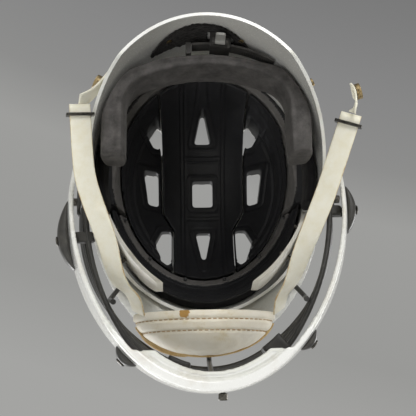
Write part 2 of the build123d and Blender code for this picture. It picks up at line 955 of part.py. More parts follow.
def adjuster_strap():
    inner = strap_band_radius
    outer = inner + strap_band_wall
    high = strap_band_low + strap_band_height
    body = band_ring(inner, outer, strap_band_low, high, strap_band_start, strap_band_end)
    step = (strap_band_end - buckle_end - strap_travel) / strap_tooth_count
    for index in range(strap_tooth_count):
        start = buckle_end + strap_travel + (index + 0.25) * step
        body = body + band_ring(inner - strap_tooth, inner + strap_band_wall / 2,
                                strap_band_low + strap_band_height / 4,
                                high - strap_band_height / 4, start, start + step / 2)
    return body


def carrier():
    # Thin plate on the back of the rear pad, with a lug at the toothed strap's start
    radius = rear_pad_back_radius + rear_pad_thickness / 2 + seat_gap
    high = carrier_low + carrier_height
    middle = Pos(0, rear_pad_arcs()[0].Y)
    plate = slab(dome_centre, reach, carrier_low, high, -carrier_half_width, carrier_half_width)
    plate = plate & (middle * Cylinder(radius + carrier_wall, 2 * high))
    back = strap_band_shift + strap_band_radius + strap_band_wall
    lug_end = carrier_lug_start + carrier_lug_width
    lug = slab(dome_centre, back, strap_band_low, high, carrier_lug_start, lug_end)
    return plate + lug - middle * Cylinder(radius, 2 * high)


def adjuster_buckle():
    # Housing round the toothed strap, seated on the shell's rear wall, with two ears for the lever
    tooth_line = strap_band_radius - strap_tooth - buckle_clearance
    low = strap_band_low - buckle_clearance
    high = strap_band_low + strap_band_height + buckle_clearance
    body = band_ring(tooth_line - buckle_wall, overall_length, low - buckle_wall, high + buckle_wall,
                     buckle_start, buckle_end)
    body = body & dome(-shell_wall - seat_gap)
    slot = band_ring(tooth_line, strap_band_radius + strap_band_wall + buckle_clearance, low, high,
                     buckle_start - buckle_end, 2 * buckle_end)
    body = body - slot
    for ear in lever_ears():
        body = body + ear
    return body


def lever_place():
    # Hinge line of the lever, under the buckle's lower face
    turn = math.radians(90 + (buckle_start + buckle_end) / 2)
    radius = strap_band_radius + strap_band_wall / 2
    low = strap_band_low - buckle_clearance - buckle_wall
    x = radius * math.cos(turn)
    y = strap_band_shift + radius * math.sin(turn)
    along = Vector(-math.sin(turn), math.cos(turn), 0)
    return Vector(x, y, low - lever_hub_radius - lever_gap), along


def lever_plane():
    # Local X points up and local Z along the hinge line
    spot, along = lever_place()
    return Plane(origin=spot, x_dir=(0, 0, 1), z_dir=along)


def release_lever():
    bar = Box(lever_length, lever_wall, lever_width, align=(Align.MAX, Align.CENTER, Align.CENTER))
    bar = fillet(bar.edges().filter_by(Axis.Y).group_by(Axis.X)[0], lever_width / 4)
    hole = Cylinder(lever_pin_radius + bore_clearance, 2 * lever_width)
    return lever_plane() * (Cylinder(lever_hub_radius, lever_width) + bar - hole)


def lever_ears():
    # Two ears under the buckle that hold the lever's pin
    ears = []
    for side in (-1, 1):
        shift = side * (lever_width / 2 + lever_gap + lever_wall / 2)
        block = Box(lever_hub_radius + lever_gap + buckle_wall / 2, 2 * lever_hub_radius, lever_wall,
                    align=(Align.MIN, Align.CENTER, Align.CENTER))
        ear = Cylinder(lever_hub_radius, lever_wall) + block - Cylinder(lever_pin_radius, lever_length)
        ears.append(lever_plane() * Pos(0, 0, shift) * ear)
    return ears


def lever_pin():
    return lever_plane() * Cylinder(lever_pin_radius, lever_width + 2 * (lever_gap + lever_wall))


def fleece_strip():
    # Band on the shell's rear wall, cut out round the buckle
    outer = shell_wall + seat_gap
    body = dome(-outer) - dome(-outer - fleece_wall)
    body = body & slab(dome_centre, reach, fleece_low, fleece_low + fleece_height, fleece_right, fleece_left)
    room = buckle_wall + buckle_clearance + pad_gap
    return body - band_ring(strap_band_radius, overall_length, strap_band_low - room,
                            strap_band_low + strap_band_height + room,
                            buckle_start - buckle_margin, buckle_end + buckle_margin)


def adjuster_rivets():
    rivets = []
    for side in (-1, 1):
        inset = shell_wall + seat_gap + fleece_wall + seat_gap
        height = fleece_low + fleece_height / 2
        wide, long = form_size(-inset, height)
        y = dome_centre + long * math.sqrt(1 - (rivet_x / wide) ** 2)
        point, away = form_point(y, height, -inset, side)
        head = Cylinder(rivet_radius, rivet_height, align=(Align.CENTER, Align.CENTER, Align.MIN))
        head = fillet(head.edges().group_by(Axis.Z)[-1], rivet_height / 2)
        rivets.append(Plane(origin=point, z_dir=-away) * head)
    return Compound(children=rivets)


# Jaw flaps

def flap_size(height):
    # Half width and half length of the flaps' conical form
    low = form_size(0, flap_low)
    high = form_size(0, flap_high)
    share = (height - flap_low) / (flap_high - flap_low)
    wide = (low[0] - flap_low_inset) * (1 - share) + (high[0] - flap_high_inset) * share
    long = (low[1] - flap_low_length_inset) * (1 - share) + (high[1] - flap_high_inset) * share
    return wide, long


def flap_form(inset):
    rings = []
    for height in (flap_low, flap_high):
        wide, long = flap_size(height)
        rings.append(Pos(0, dome_centre, height) * Ellipse(wide - inset, long - inset))
    return loft(rings, ruled=True)


def jaw_flap(side):
    ys = [share * overall_length for share in flap_edge_y_shares]
    zs = [share * crown_height for share in flap_edge_z_shares]
    body = (flap_form(0) - flap_form(flap_wall)) & side_cut(ys, zs, flap_round)
    body = body & slab(-reach, reach, 0, reach, *half_space(side))
    spot = (0, flap_slot_y_share * overall_length, flap_slot_z_share * crown_height)
    place = Plane(spot, x_dir=(0, 1, 0), z_dir=(1, 0, 0))
    body = body - extrude(place * SlotOverall(flap_slot_length, flap_slot_width), amount=reach, both=True)
    return drill(body, flap_screws())


# Chin cup

def cup_form(inset):
    middle = (0, cup_back_share * overall_length, cup_height)
    sizes = (cup_half_width - inset, cup_depth - inset, cup_drop - inset)
    return Pos(*middle) * scale(Sphere(1), by=sizes)


def chin_cup():
    back = cup_back_share * overall_length
    body = cup_form(0) - cup_form(cup_wall)
    return body & slab(-reach, back, 0, cup_height)


def cup_lining_pad():
    back = cup_back_share * overall_length
    body = cup_form(cup_wall + seat_gap) - cup_form(cup_wall + seat_gap + cup_lining)
    return body & slab(-reach, back - cup_back_rise, 0, cup_height - cup_back_rise)


# Straps

def line_points(shares):
    return [Vector(x * half_width, y * overall_length, z * crown_height) for x, y, z in shares]


def strap_points(side):
    return line_points(left_strap_shares if side > 0 else right_strap_shares)


def strap_frame(centre, along, turn):
    # Centre, width direction and direction of travel; the turn lifts the outer edge of the width
    level = Vector(-along.Y, along.X, 0).normalized()
    if level.X * centre.X < 0:
        level = -level
    rise = level.cross(along)
    if rise.Z < 0:
        rise = -rise
    return centre, level * math.cos(turn) - rise * math.sin(turn), along


def cup_seat(side):
    # Where a strap's middle line ends on the outside of the chin cup, and the cup's outward direction there
    along = -cup_seat_back / cup_depth
    down = -cup_seat_drop / cup_drop
    across = side * math.sqrt(1 - along ** 2 - down ** 2)
    middle = Vector(0, cup_back_share * overall_length, cup_height)
    point = middle + Vector(across * cup_half_width, along * cup_depth, down * cup_drop)
    away = Vector(across / cup_half_width, along / cup_depth, down / cup_drop).normalized()
    return point + away * (seat_gap + strap_wall / 2), away


def strap_frames(side):
    # Straight first part for the slider, then a curve to the chin cup
    points = strap_points(side)
    seat, away = cup_seat(side)
    first = (points[1] - points[0]).normalized()
    last = (seat - points[-1]).normalized()
    last = (last - away * last.dot(away)).normalized()
    curve = Spline(*(points[1:] + [seat]), tangents=(first, last))
    turn = math.radians(left_strap_turn if side > 0 else right_strap_turn)
    frames = [strap_frame(points[0], first, turn)]
    end_across = last.cross(away).normalized()
    if end_across.dot(frames[0][1]) < 0:
        end_across = -end_across
    for index in range(strap_stations + 1):
        share = index / strap_stations
        centre, across, along = strap_frame(curve @ share, (curve % share).normalized(), turn)
        across = across * (1 - share) + end_across * share
        across = (across - along * across.dot(along)).normalized()
        frames.append((centre, across, along))
    return frames


def ribbon(frames, width, wall):
    # Flat band through the frames
    faces = []
    for centre, across, along in frames:
        faces.append(Plane(origin=centre, x_dir=across, z_dir=along) * Rectangle(width, wall))
    return loft(faces, ruled=True)


def chin_strap(side):
    return ribbon(strap_frames(side), strap_width, strap_wall)


def slider_plane(side):
    # Place of the slider: square to the strap, near its end
    centre, across, along = strap_frames(side)[0]
    return Plane(origin=centre + along * slider_set, x_dir=across, z_dir=along)


def slider(side):
    # Wire frame round the strap
    wide = strap_width + 2 * slider_clearance
    tall = strap_wall + 2 * slider_clearance
    ring = Box(wide + 2 * slider_wire, tall + 2 * slider_wire, slider_wire)
    ring = fillet(ring.edges().filter_by(Axis.Z), slider_wire / 2)
    ring = ring - Box(wide, tall, 2 * slider_wire)
    return slider_plane(side) * ring


# Snaps

def stud_plane(side):
    y = stud_y_share * overall_length
    point, away = form_point(y, stud_z_share * crown_height, seat_gap, side)
    return Plane(origin=point, z_dir=away)


def disc(radius, low, high):
    return Pos(0, 0, low) * Cylinder(radius, high - low, align=(Align.CENTER, Align.CENTER, Align.MIN))


def stud(side):
    post_top = stud_flange_height + stud_post_height
    body = disc(stud_flange_radius, 0, stud_flange_height) + disc(stud_post_radius, 0, post_top)
    return stud_plane(side) * (body + disc(stud_head_radius, post_top, post_top + stud_head_height))


def tab_frames(side):
    # The worn left tab lies over its stud on the shell; the right one is free
    if side < 0:
        centre, across, along = strap_frames(side)[0]
        curve = Spline(*([centre - along * (seat_gap + tab_wall / 2)] + line_points(free_tab_shares)))
    else:
        points = []
        for y_share, z_share in worn_tab_shares:
            stand = stud_flange_height + seat_gap + snap_tab_ease + tab_wall / 2
            points.append(form_point(y_share * overall_length, z_share * crown_height, stand, 1)[0])
        centre, across, along = strap_frames(side)[0]
        curve = Spline(*([centre - along * (seat_gap + tab_wall)] + points))
    frames = []
    for index in range(snap_tab_stations + 1):
        share = index / snap_tab_stations
        centre = curve @ share
        along = (curve % share).normalized()
        away = form_point(centre.Y, centre.Z, 0, side)[1]
        across = along.cross(away).normalized()
        frames.append((centre, across, along))
    return frames


def snap_tab(side):
    body = ribbon(tab_frames(side), snap_tab_width, tab_wall)
    if side > 0:
        body = body - stud_plane(side) * Cylinder(stud_post_radius + bore_clearance, 2 * cap_radius)
    return body


def cap(side):
    # Snap cap: over the stud on the left, on the end of the free tab on the right
    if side > 0:
        plane = stud_plane(side)
        low = stud_flange_height + 2 * snap_tab_ease + tab_wall
    else:
        centre, across, along = tab_frames(side)[-2]
        plane = Plane(origin=centre, x_dir=across, z_dir=along.cross(across))
        if plane.z_dir.X > 0:
            plane = Plane(origin=centre, x_dir=across, z_dir=-plane.z_dir)
        low = tab_wall / 2 + seat_gap
    high = low + stud_head_height + stud_post_height - tab_wall + cap_wall
    hollow = disc(stud_head_radius + bore_clearance, low - cap_wall, high - cap_wall)
    return plane * (disc(cap_radius, low, high) - hollow)


def save_all():
    layer = liner_layer(liner_thickness)
    save(shell(), "shell")
    save(visor(), "visor")
    save(screws([visor_screw(-1), visor_screw(1)]), "visor_screws")
    save(screws([shell_clip_screw(-1), shell_clip_screw(1)]), "mask_clip_screws")
    save(screws(flap_screws()), "jaw_flap_screws")
    save(chin_guard(), "chin_guard")
    save(screws(guard_screw_places()), "guard_screws")
    save(front_nut(), "front_nut")
    save(rod(top_bar_path(), wire_diameter / 2), "mask_top_bar")
    for row in range(mask_rows()):
        save(rod(bar_path(row), wire_diameter / 2), bar_names[row])
    save(centre_post(), "mask_centre_post")
    save(group([visor_clip(-1), visor_clip(1)]), "visor_clips")
    save(liner_spine(layer), "liner_spine")
    save(brow_pad(), "brow_pad")
    save(brow_pegs(), "brow_pegs")
    save(rear_pad(), "rear_pad")
    save(carrier(), "rear_pad_carrier")
    save(adjuster_strap(), "adjuster_strap")
    save(adjuster_buckle(), "adjuster_buckle")
    save(release_lever(), "release_lever")
    save(lever_pin(), "lever_pin")
    save(fleece_strip(), "fleece_strip")
    save(adjuster_rivets(), "adjuster_rivets")
    save(chin_cup(), "chin_cup")
    save(cup_lining_pad(), "chin_cup_lining")
    save(group([stud(-1), stud(1)]), "snap_studs")
    for side, word in ((1, "left"), (-1, "right")):
        save(side_post(side), "mask_side_post_" + word)
        save(rod(end_wire_path(side), wire_diameter / 2), "mask_end_wire_" + word)
        save(shell_clip(side), "mask_clip_" + word)
        save(side_hook("side_hook_" + word, side), "side_hook_" + word)
        save(arm_clip("side_hook_" + word, side), "arm_clip_" + word)
        save(corner_tab("corner_tab_" + word), "corner_tab_" + word)
        save(chin_clip("front_clip_" + word), "front_clip_" + word)
        save(liner_side(layer, side), "liner_side_" + word)
        save(foam_ring(layer, side), "foam_ring_" + word)
        save(side_pad(side), "side_pad_" + word)
        save(jaw_flap(side), "jaw_flap_" + word)
        save(chin_strap(side), "chin_strap_" + word)
        save(slider(side), "strap_slider_" + word)
        save(snap_tab(side), "snap_tab_" + word)
        save(cap(side), "snap_cap_" + word)


os.makedirs("parts", exist_ok=True)
save_all()
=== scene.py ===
import math

import bmesh
import bpy
from mathutils import Matrix, Vector, noise


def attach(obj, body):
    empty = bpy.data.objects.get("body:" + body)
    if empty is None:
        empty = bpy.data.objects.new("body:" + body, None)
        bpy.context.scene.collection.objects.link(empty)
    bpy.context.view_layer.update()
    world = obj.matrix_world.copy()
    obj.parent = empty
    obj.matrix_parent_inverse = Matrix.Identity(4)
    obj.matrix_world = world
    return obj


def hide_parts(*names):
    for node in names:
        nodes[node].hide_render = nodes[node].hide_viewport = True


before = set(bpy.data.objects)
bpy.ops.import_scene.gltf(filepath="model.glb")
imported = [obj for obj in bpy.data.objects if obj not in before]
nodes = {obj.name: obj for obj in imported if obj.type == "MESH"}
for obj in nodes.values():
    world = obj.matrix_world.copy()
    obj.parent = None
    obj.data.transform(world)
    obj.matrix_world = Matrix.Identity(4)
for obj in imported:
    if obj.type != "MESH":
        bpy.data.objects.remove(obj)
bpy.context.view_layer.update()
mm = 0.001
print("frame loaded:", len(nodes), "CAD pieces")


# Small helpers for colours and shader nodes

def colour(hexText):
    # sRGB hex to the linear values Blender wants
    parts = [int(hexText[i:i + 2], 16) / 255 for i in (1, 3, 5)]
    return [c / 12.92 if c <= 0.04045 else ((c + 0.055) / 1.055) ** 2.4 for c in parts] + [1.0]


def addNode(tree, kind, settings=None, inputs=None, stops=None):
    # One node with its settings, its fixed inputs and its incoming links
    # The stops are the (position, hex) pairs of a colour ramp
    node = tree.nodes.new(kind)
    for name, value in (settings or {}).items():
        setattr(node, name, value)
    for name, value in (inputs or {}).items():
        socket = node.inputs[name]
        if isinstance(value, bpy.types.NodeSocket):
            tree.links.new(value, socket)
        else:
            socket.default_value = value
    if stops:
        elements = node.color_ramp.elements
        while len(elements) < len(stops):
            elements.new(0.5)
        for element, (position, hexText) in zip(elements, stops):
            element.position = position
            element.color = colour(hexText)
    return node


def startMaterial(name):
    material = bpy.data.materials.new(name)
    material.use_nodes = True
    tree = material.node_tree
    tree.nodes.clear()
    return material, tree, addNode(tree, "ShaderNodeTexCoord").outputs["Object"]


def endMaterial(material, tree, inputs):
    surface = addNode(tree, "ShaderNodeBsdfPrincipled", {}, inputs)
    addNode(tree, "ShaderNodeOutputMaterial", {}, {"Surface": surface.outputs["BSDF"]})
    return material


def paint(piece, material):
    piece.data.materials.clear()
    piece.data.materials.append(material)
    for polygon in piece.data.polygons:
        polygon.use_smooth = True


# Materials

def glossyPolycarbonate():
    # Injection-moulded polycarbonate, polished mould: bright gloss, faint waviness and fine scuffs
    # The inside colour is painted light: the inner back wall is drawn paler, as if lit from below
    look = {"white": "#e9e9e4", "grime": "#dcd9d0", "inside": "#f3f2ec", "cloud": 28, "scuff": 1.6,
            "wave": 14, "middle": (0, 40, 120), "behind": (20, 110)}
    material, tree, place = startMaterial("polycarbonate moulded gloss")
    dirt = addNode(tree, "ShaderNodeTexNoise", {}, {
        "Vector": place, "Scale": 1 / (look["cloud"] * mm), "Detail": 6.0, "Roughness": 0.62})
    tint = addNode(tree, "ShaderNodeValToRGB", {}, {"Fac": dirt.outputs["Fac"]}, [
        (0.32, look["grime"]), (0.5, look["white"]), (1.0, look["white"])])
    # The wall's inner face is painted paler towards the back, as painted light from the lamps below
    fromMiddle = addNode(tree, "ShaderNodeVectorMath", {"operation": "SUBTRACT"}, {
        0: place, 1: [side * mm for side in look["middle"]]})
    facing = addNode(tree, "ShaderNodeVectorMath", {"operation": "DOT_PRODUCT"}, {
        0: fromMiddle.outputs["Vector"], 1: addNode(tree, "ShaderNodeTexCoord").outputs["Normal"]})
    inside = addNode(tree, "ShaderNodeMapRange", {}, {
        "Value": facing.outputs["Value"], "From Min": -0.03, "From Max": -0.06, "To Min": 0.0, "To Max": 1.0})
    depth = addNode(tree, "ShaderNodeSeparateXYZ", {}, {"Vector": place})
    behind = addNode(tree, "ShaderNodeMapRange", {}, {
        "Value": depth.outputs["Y"], "From Min": look["behind"][0] * mm, "From Max": look["behind"][1] * mm,
        "To Min": 0.0, "To Max": 1.0})
    paintedLightShare = addNode(tree, "ShaderNodeMath", {"operation": "MULTIPLY"}, {
        0: inside.outputs["Result"], 1: behind.outputs["Result"]})
    shown = addNode(tree, "ShaderNodeMix", {"data_type": "RGBA"}, {
        "Factor": paintedLightShare.outputs[0], 6: tint.outputs["Color"], 7: colour(look["inside"])})
    scuff = addNode(tree, "ShaderNodeTexNoise", {}, {
        "Vector": place, "Scale": 1 / (look["scuff"] * mm), "Detail": 4.0, "Roughness": 0.7})
    rough = addNode(tree, "ShaderNodeMapRange", {}, {
        "Value": scuff.outputs["Fac"], "From Min": 0.45, "From Max": 0.8, "To Min": 0.17, "To Max": 0.42})
    wave = addNode(tree, "ShaderNodeTexNoise", {}, {
        "Vector": place, "Scale": 1 / (look["wave"] * mm), "Detail": 2.0})
    bump = addNode(tree, "ShaderNodeBump", {}, {
        "Height": wave.outputs["Fac"], "Strength": 0.05, "Distance": 0.6 * mm})
    return endMaterial(material, tree, {
        "Base Color": shown.outputs[2], "Roughness": rough.outputs["Result"], "IOR": 1.58,
        "Coat Weight": 0.35, "Coat Roughness": 0.06, "Normal": bump.outputs["Normal"]})


def mouldedPlastic(name, hexLight, hexDark, roughness, grain):
    # ABS or nylon from a textured mould: even colour with a pebbled skin and a dull shine
    material, tree, place = startMaterial(name)
    cloud = addNode(tree, "ShaderNodeTexNoise", {}, {"Vector": place, "Scale": 1 / (16 * mm), "Detail": 5.0})
    tint = addNode(tree, "ShaderNodeValToRGB", {}, {"Fac": cloud.outputs["Fac"]}, [
        (0.35, hexDark), (0.6, hexLight)])
    skin = addNode(tree, "ShaderNodeTexNoise", {}, {
        "Vector": place, "Scale": 1 / (grain * mm), "Detail": 3.0})
    bump = addNode(tree, "ShaderNodeBump", {}, {
        "Height": skin.outputs["Fac"], "Strength": 0.25, "Distance": 0.25 * mm})
    return endMaterial(material, tree, {
        "Base Color": tint.outputs["Color"], "Roughness": roughness, "IOR": 1.53,
        "Normal": bump.outputs["Normal"]})


def mottled(name, look, inputs):
    # Cloudy tones and a shallow relief from one noise, for skins that wear or tarnish in patches
    material, tree, place = startMaterial(name)
    patches = addNode(tree, "ShaderNodeTexNoise", {}, {
        "Vector": place, "Scale": 1 / (look["patch"] * mm), "Detail": look["detail"],
        "Roughness": look["ragged"]})
    tint = addNode(tree, "ShaderNodeValToRGB", {}, {"Fac": patches.outputs["Fac"]}, look["tones"])
    bump = addNode(tree, "ShaderNodeBump", {}, {
        "Height": patches.outputs["Fac"], "Strength": look["strength"], "Distance": look["relief"] * mm})
    return endMaterial(material, tree, {
        "Base Color": tint.outputs["Color"], "Normal": bump.outputs["Normal"], **inputs})


def dippedWire():
    # Steel wire dipped in vinyl: dark satin skin with small runs and worn grey spots
    look = {"patch": 9, "detail": 8.0, "ragged": 0.7, "strength": 0.3, "relief": 0.3,
            "tones": [(0.3, "#262625"), (0.62, "#3b3a38"), (0.78, "#6f6c67")]}
    return mottled("vinyl dipped wire", look, {
        "Roughness": 0.38, "IOR": 1.52, "Coat Weight": 0.15, "Coat Roughness": 0.2})


def mouldedRubber():
    # Moulded nitrile rubber: near black with a bloom of grey dust and soft edges of light
    look = {"patch": 7, "detail": 8.0, "ragged": 0.75, "strength": 0.35, "relief": 0.3,
            "tones": [(0.35, "#201f1c"), (0.6, "#34322e"), (0.85, "#504d45")]}
    return mottled("nitrile rubber moulded", look, {
        "Roughness": 0.42, "IOR": 1.52, "Coat Weight": 0.3, "Coat Roughness": 0.2})


def turnedMetal(name, hexText, roughness):
    # Turned and plated metal: hard bright shine, dulled in small patches of tarnish
    tarnish = "#" + "".join("%02x" % int(int(hexText[i:i + 2], 16) * 0.6) for i in (1, 3, 5))
    look = {"patch": 2.5, "detail": 6.0, "ragged": 0.65, "strength": 0.15, "relief": 0.1,
            "tones": [(0.35, tarnish), (0.6, hexText)]}
    return mottled(name, look, {"Metallic": 1.0, "Roughness": roughness})


def foamSkin(name, hexDark, hexLight, pore, sheen, roughness=0.92, shine=0.25):
    # Closed-cell foam or brushed cloth on foam: matte, mottled, with a soft fuzz of light at the edges
    material, tree, place = startMaterial(name)
    cloud = addNode(tree, "ShaderNodeTexNoise", {}, {
        "Vector": place, "Scale": 1 / (11 * mm), "Detail": 8.0, "Roughness": 0.7})
    tint = addNode(tree, "ShaderNodeValToRGB", {}, {"Fac": cloud.outputs["Fac"]}, [
        (0.3, hexDark), (0.72, hexLight)])
    pores = addNode(tree, "ShaderNodeTexVoronoi", {}, {"Vector": place, "Scale": 1 / (pore * mm)})
    bump = addNode(tree, "ShaderNodeBump", {}, {
        "Height": pores.outputs["Distance"], "Strength": 0.5, "Distance": 0.35 * mm})
    return endMaterial(material, tree, {
        "Base Color": tint.outputs["Color"], "Roughness": roughness, "IOR": 1.45, "Specular IOR Level": shine,
        "Sheen Weight": sheen, "Sheen Roughness": 0.45, "Sheen Tint": colour("#8f8d88"),
        "Normal": bump.outputs["Normal"]})


def wovenWebbing():
    # Woven polyester webbing: rows of picks across the band, a ribbed weave, tan dirt at the edges
    look = {"cream": "#f6f3e4", "shade": "#eee8d0", "tan": "#bf9c63", "pick": 1.5, "warp": 0.9,
            "wornFrom": 8.0, "wornTo": 9.2}
    material, tree, place = startMaterial("polyester webbing woven")
    flat = addNode(tree, "ShaderNodeUVMap", {"uv_map": "band"}).outputs["UV"]
    band = addNode(tree, "ShaderNodeSeparateXYZ", {}, {"Vector": flat})
    threads = []
    for axis, spacing in (("Y", look["pick"]), ("X", look["warp"])):
        turns = addNode(tree, "ShaderNodeMath", {"operation": "MULTIPLY"}, {
            0: band.outputs[axis], 1: 2 * math.pi / (spacing * mm)})
        threads.append(addNode(tree, "ShaderNodeMath", {"operation": "SINE"}, {0: turns.outputs[0]}))
    weave = addNode(tree, "ShaderNodeMath", {"operation": "MULTIPLY"}, {
        0: threads[0].outputs[0], 1: threads[1].outputs[0]})
    dirt = addNode(tree, "ShaderNodeTexNoise", {}, {
        "Vector": place, "Scale": 1 / (13 * mm), "Detail": 7.0, "Roughness": 0.7})
    edge = addNode(tree, "ShaderNodeMath", {"operation": "ABSOLUTE"}, {0: band.outputs["X"]})
    worn = addNode(tree, "ShaderNodeMapRange", {}, {
        "Value": edge.outputs[0], "From Min": look["wornFrom"] * mm, "From Max": look["wornTo"] * mm,
        "To Min": 0.0, "To Max": 0.5})
    soil = addNode(tree, "ShaderNodeMath", {"operation": "ADD"}, {
        0: dirt.outputs["Fac"], 1: worn.outputs["Result"]})
    tint = addNode(tree, "ShaderNodeValToRGB", {}, {"Fac": soil.outputs[0]}, [
        (0.4, look["cream"]), (0.72, look["shade"]), (1.0, look["tan"])])
    bump = addNode(tree, "ShaderNodeBump", {}, {
        "Height": weave.outputs[0], "Strength": 0.45, "Distance": 0.25 * mm})
    return endMaterial(material, tree, {
        "Base Color": tint.outputs["Color"], "Roughness": 0.82, "Sheen Weight": 0.25, "Sheen Roughness": 0.4,
        "Sheen Tint": colour("#fff6de"), "Normal": bump.outputs["Normal"]})


def grainedLeatherette():
    # Coated leatherette with an embossed grain: creamy, wrinkled, worn through to tan cloth in one patch
    look = {"tones": [(0.26, "#e2d4b0"), (0.4, "#f0e8d5"), (0.7, "#f7f2e5")], "stain": 24, "grain": 1.7,
            "cloth": "#b88f50", "patch": (22, -92, 61), "patchRadius": 7.2, "patchFade": 6.6, "ragged": 3,
            "tear": 5}
    material, tree, place = startMaterial("leatherette embossed")
    stain = addNode(tree, "ShaderNodeTexNoise", {}, {
        "Vector": place, "Scale": 1 / (look["stain"] * mm), "Detail": 9.0, "Roughness": 0.66})
    tint = addNode(tree, "ShaderNodeValToRGB", {}, {"Fac": stain.outputs["Fac"]}, look["tones"])
    ragged = addNode(tree, "ShaderNodeTexNoise", {}, {
        "Vector": place, "Scale": 1 / (look["ragged"] * mm), "Detail": 3.0})
    reach = addNode(tree, "ShaderNodeVectorMath", {"operation": "DISTANCE"}, {
        0: place, 1: [side * mm for side in look["patch"]]})
    edge = addNode(tree, "ShaderNodeMath", {"operation": "MULTIPLY_ADD"}, {
        0: ragged.outputs["Fac"], 1: look["tear"] * mm, 2: reach.outputs["Value"]})
    bare = addNode(tree, "ShaderNodeMapRange", {}, {
        "Value": edge.outputs[0], "From Min": look["patchRadius"] * mm, "From Max": look["patchFade"] * mm,
        "To Min": 0.0, "To Max": 1.0})
    shown = addNode(tree, "ShaderNodeMix", {"data_type": "RGBA"}, {
        "Factor": bare.outputs["Result"], 6: tint.outputs["Color"], 7: colour(look["cloth"])})
    cells = addNode(tree, "ShaderNodeTexVoronoi", {"feature": "DISTANCE_TO_EDGE"}, {
        "Vector": place, "Scale": 1 / (look["grain"] * mm)})
    bump = addNode(tree, "ShaderNodeBump", {}, {
        "Height": cells.outputs["Distance"], "Strength": 0.4, "Distance": 0.3 * mm})
    return endMaterial(material, tree, {
        "Base Color": shown.outputs[2], "Roughness": 0.62, "IOR": 1.5, "Specular IOR Level": 0.3,
        "Normal": bump.outputs["Normal"]})


shellWhite = glossyPolycarbonate()
flapWhite = mouldedPlastic("polyethylene moulded white", "#e4e1d8", "#d6d2c6", 0.42, 1.2)
wireCoat = dippedWire()
clipRubber = mouldedRubber()
screwSteel = turnedMetal("black oxide steel turned", "#6b6862", 0.36)
snapBrass = turnedMetal("brass nickel washed", "#c9b184", 0.3)
sliderSteel = turnedMetal("steel wire blued", "#54524e", 0.34)
linerFoam = foamSkin("nitrile foam moulded black", "#1d1d1f", "#2a2a2c", 0.9, 0.05, 0.42, 0.5)
ringFoam = foamSkin("cellular foam grey", "#615e5c", "#7d7a77", 1.3, 0.15, 0.55, 0.45)
feltCover = foamSkin("felt cover brushed", "#403e3d", "#6a6765", 0.8, 0.35)
velourCover = foamSkin("velour pile black", "#0f0e0f", "#201f21", 0.7, 0.25)
loopBand = foamSkin("hook and loop band", "#161515", "#3c3a39", 0.6, 0.4)
nylonBlack = mouldedPlastic("nylon moulded black", "#4d4b48", "#343331", 0.36, 0.9)
leverGrey = mouldedPlastic("acetal moulded grey", "#b4b3ae", "#9c9b96", 0.38, 0.9)
webbing = wovenWebbing()
cupSkin = grainedLeatherette()
wornBinding = foamSkin("leatherette binding worn", "#b98f52", "#e2c893", 0.8, 0.1, 0.6, 0.35)
tanThread = foamSkin("polyester thread twisted", "#a98a63", "#c9ae86", 0.5, 0.1, 0.7, 0.3)
cupFoam = foamSkin("polyurethane foam cream", "#c8bf9f", "#e2dcc4", 1.1, 0.1)
print("materials made")

nodeLooks = {
    "shell": shellWhite, "visor": shellWhite, "chin_guard": shellWhite,
    "jaw_flap_left": flapWhite, "jaw_flap_right": flapWhite,
    "visor_screws": screwSteel, "mask_clip_screws": screwSteel, "jaw_flap_screws": screwSteel,
    "guard_screws": screwSteel, "front_nut": screwSteel, "lever_pin": screwSteel,
    "adjuster_rivets": snapBrass, "snap_studs": snapBrass, "snap_cap_left": snapBrass,
    "snap_cap_right": snapBrass, "strap_slider_left": sliderSteel, "strap_slider_right": sliderSteel,
    "rear_pad_carrier": nylonBlack, "adjuster_strap": nylonBlack, "adjuster_buckle": nylonBlack,
    "release_lever": leverGrey, "fleece_strip": loopBand,
}
for name in nodes:
    if name.startswith("mask_") and "clip" not in name:
        nodeLooks[name] = wireCoat
    if "clip" in name and "screws" not in name or name.startswith(("side_hook", "corner_tab")):
        nodeLooks[name] = clipRubber
for name, material in nodeLooks.items():
    paint(nodes[name], material)


# Pieces drawn again over their CAD solids

def newPiece(name, mesh, material, body):
    piece = bpy.data.objects.new(name, mesh)
    bpy.context.scene.collection.objects.link(piece)
    paint(piece, material)
    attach(piece, body)
    return piece


def softened(node, form):
    # Even quad mesh over a CAD solid with its edges rounded
    copy = bpy.data.objects.new("working", nodes[node].data.copy())
    bpy.context.scene.collection.objects.link(copy)
    remesh = copy.modifiers.new("even", "REMESH")
    remesh.mode = "VOXEL"
    remesh.voxel_size = form["voxel"] * mm
    smooth = copy.modifiers.new("round", "SMOOTH")
    smooth.iterations = form["rounds"]
    smooth.factor = 0.5
    bpy.context.view_layer.update()
    mesh = bpy.data.meshes.new_from_object(copy.evaluated_get(bpy.context.evaluated_depsgraph_get()))
    bpy.data.objects.remove(copy)
    return mesh


def pressed(mesh, reliefAt):
    # Moves each point along its normal by reliefAt(point, normal), in millimetres
    moved = [(v.co + v.normal * reliefAt(v.co, v.normal) * mm) for v in mesh.vertices]
    for vertex, co in zip(mesh.vertices, moved):
        vertex.co = co
    mesh.update()
    return mesh


def reshaped(mesh, shape):
    # Moves each point to shape(x, y, z), in millimetres
    for vertex in mesh.vertices:
        vertex.co = Vector(shape(*(vertex.co / mm))) * mm
    return mesh


def remade(node, name, mesh, material, body="helmet"):
    # A new piece that stands in for a CAD node
    piece = newPiece(name, mesh, material, body)
    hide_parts(node)
    return piece


def clamped(value):
    return min(1.0, max(0.0, value))


def groove(width, depth, *distances):
    # Round-bottomed groove, in millimetres, whose middle is this far away; the nearest distance counts
    share = min(1.0, min(abs(distance) for distance in distances) / width)
    return -depth * (1 - share * share) ** 2


def lumps(point, layers):
    # Soft unevenness in millimetres, from (height, lumps in a metre) layers
    return sum(height * noise.noise(point * perMetre) for height, perMetre in layers)


# The helmet's plan, which the pads and the visor follow

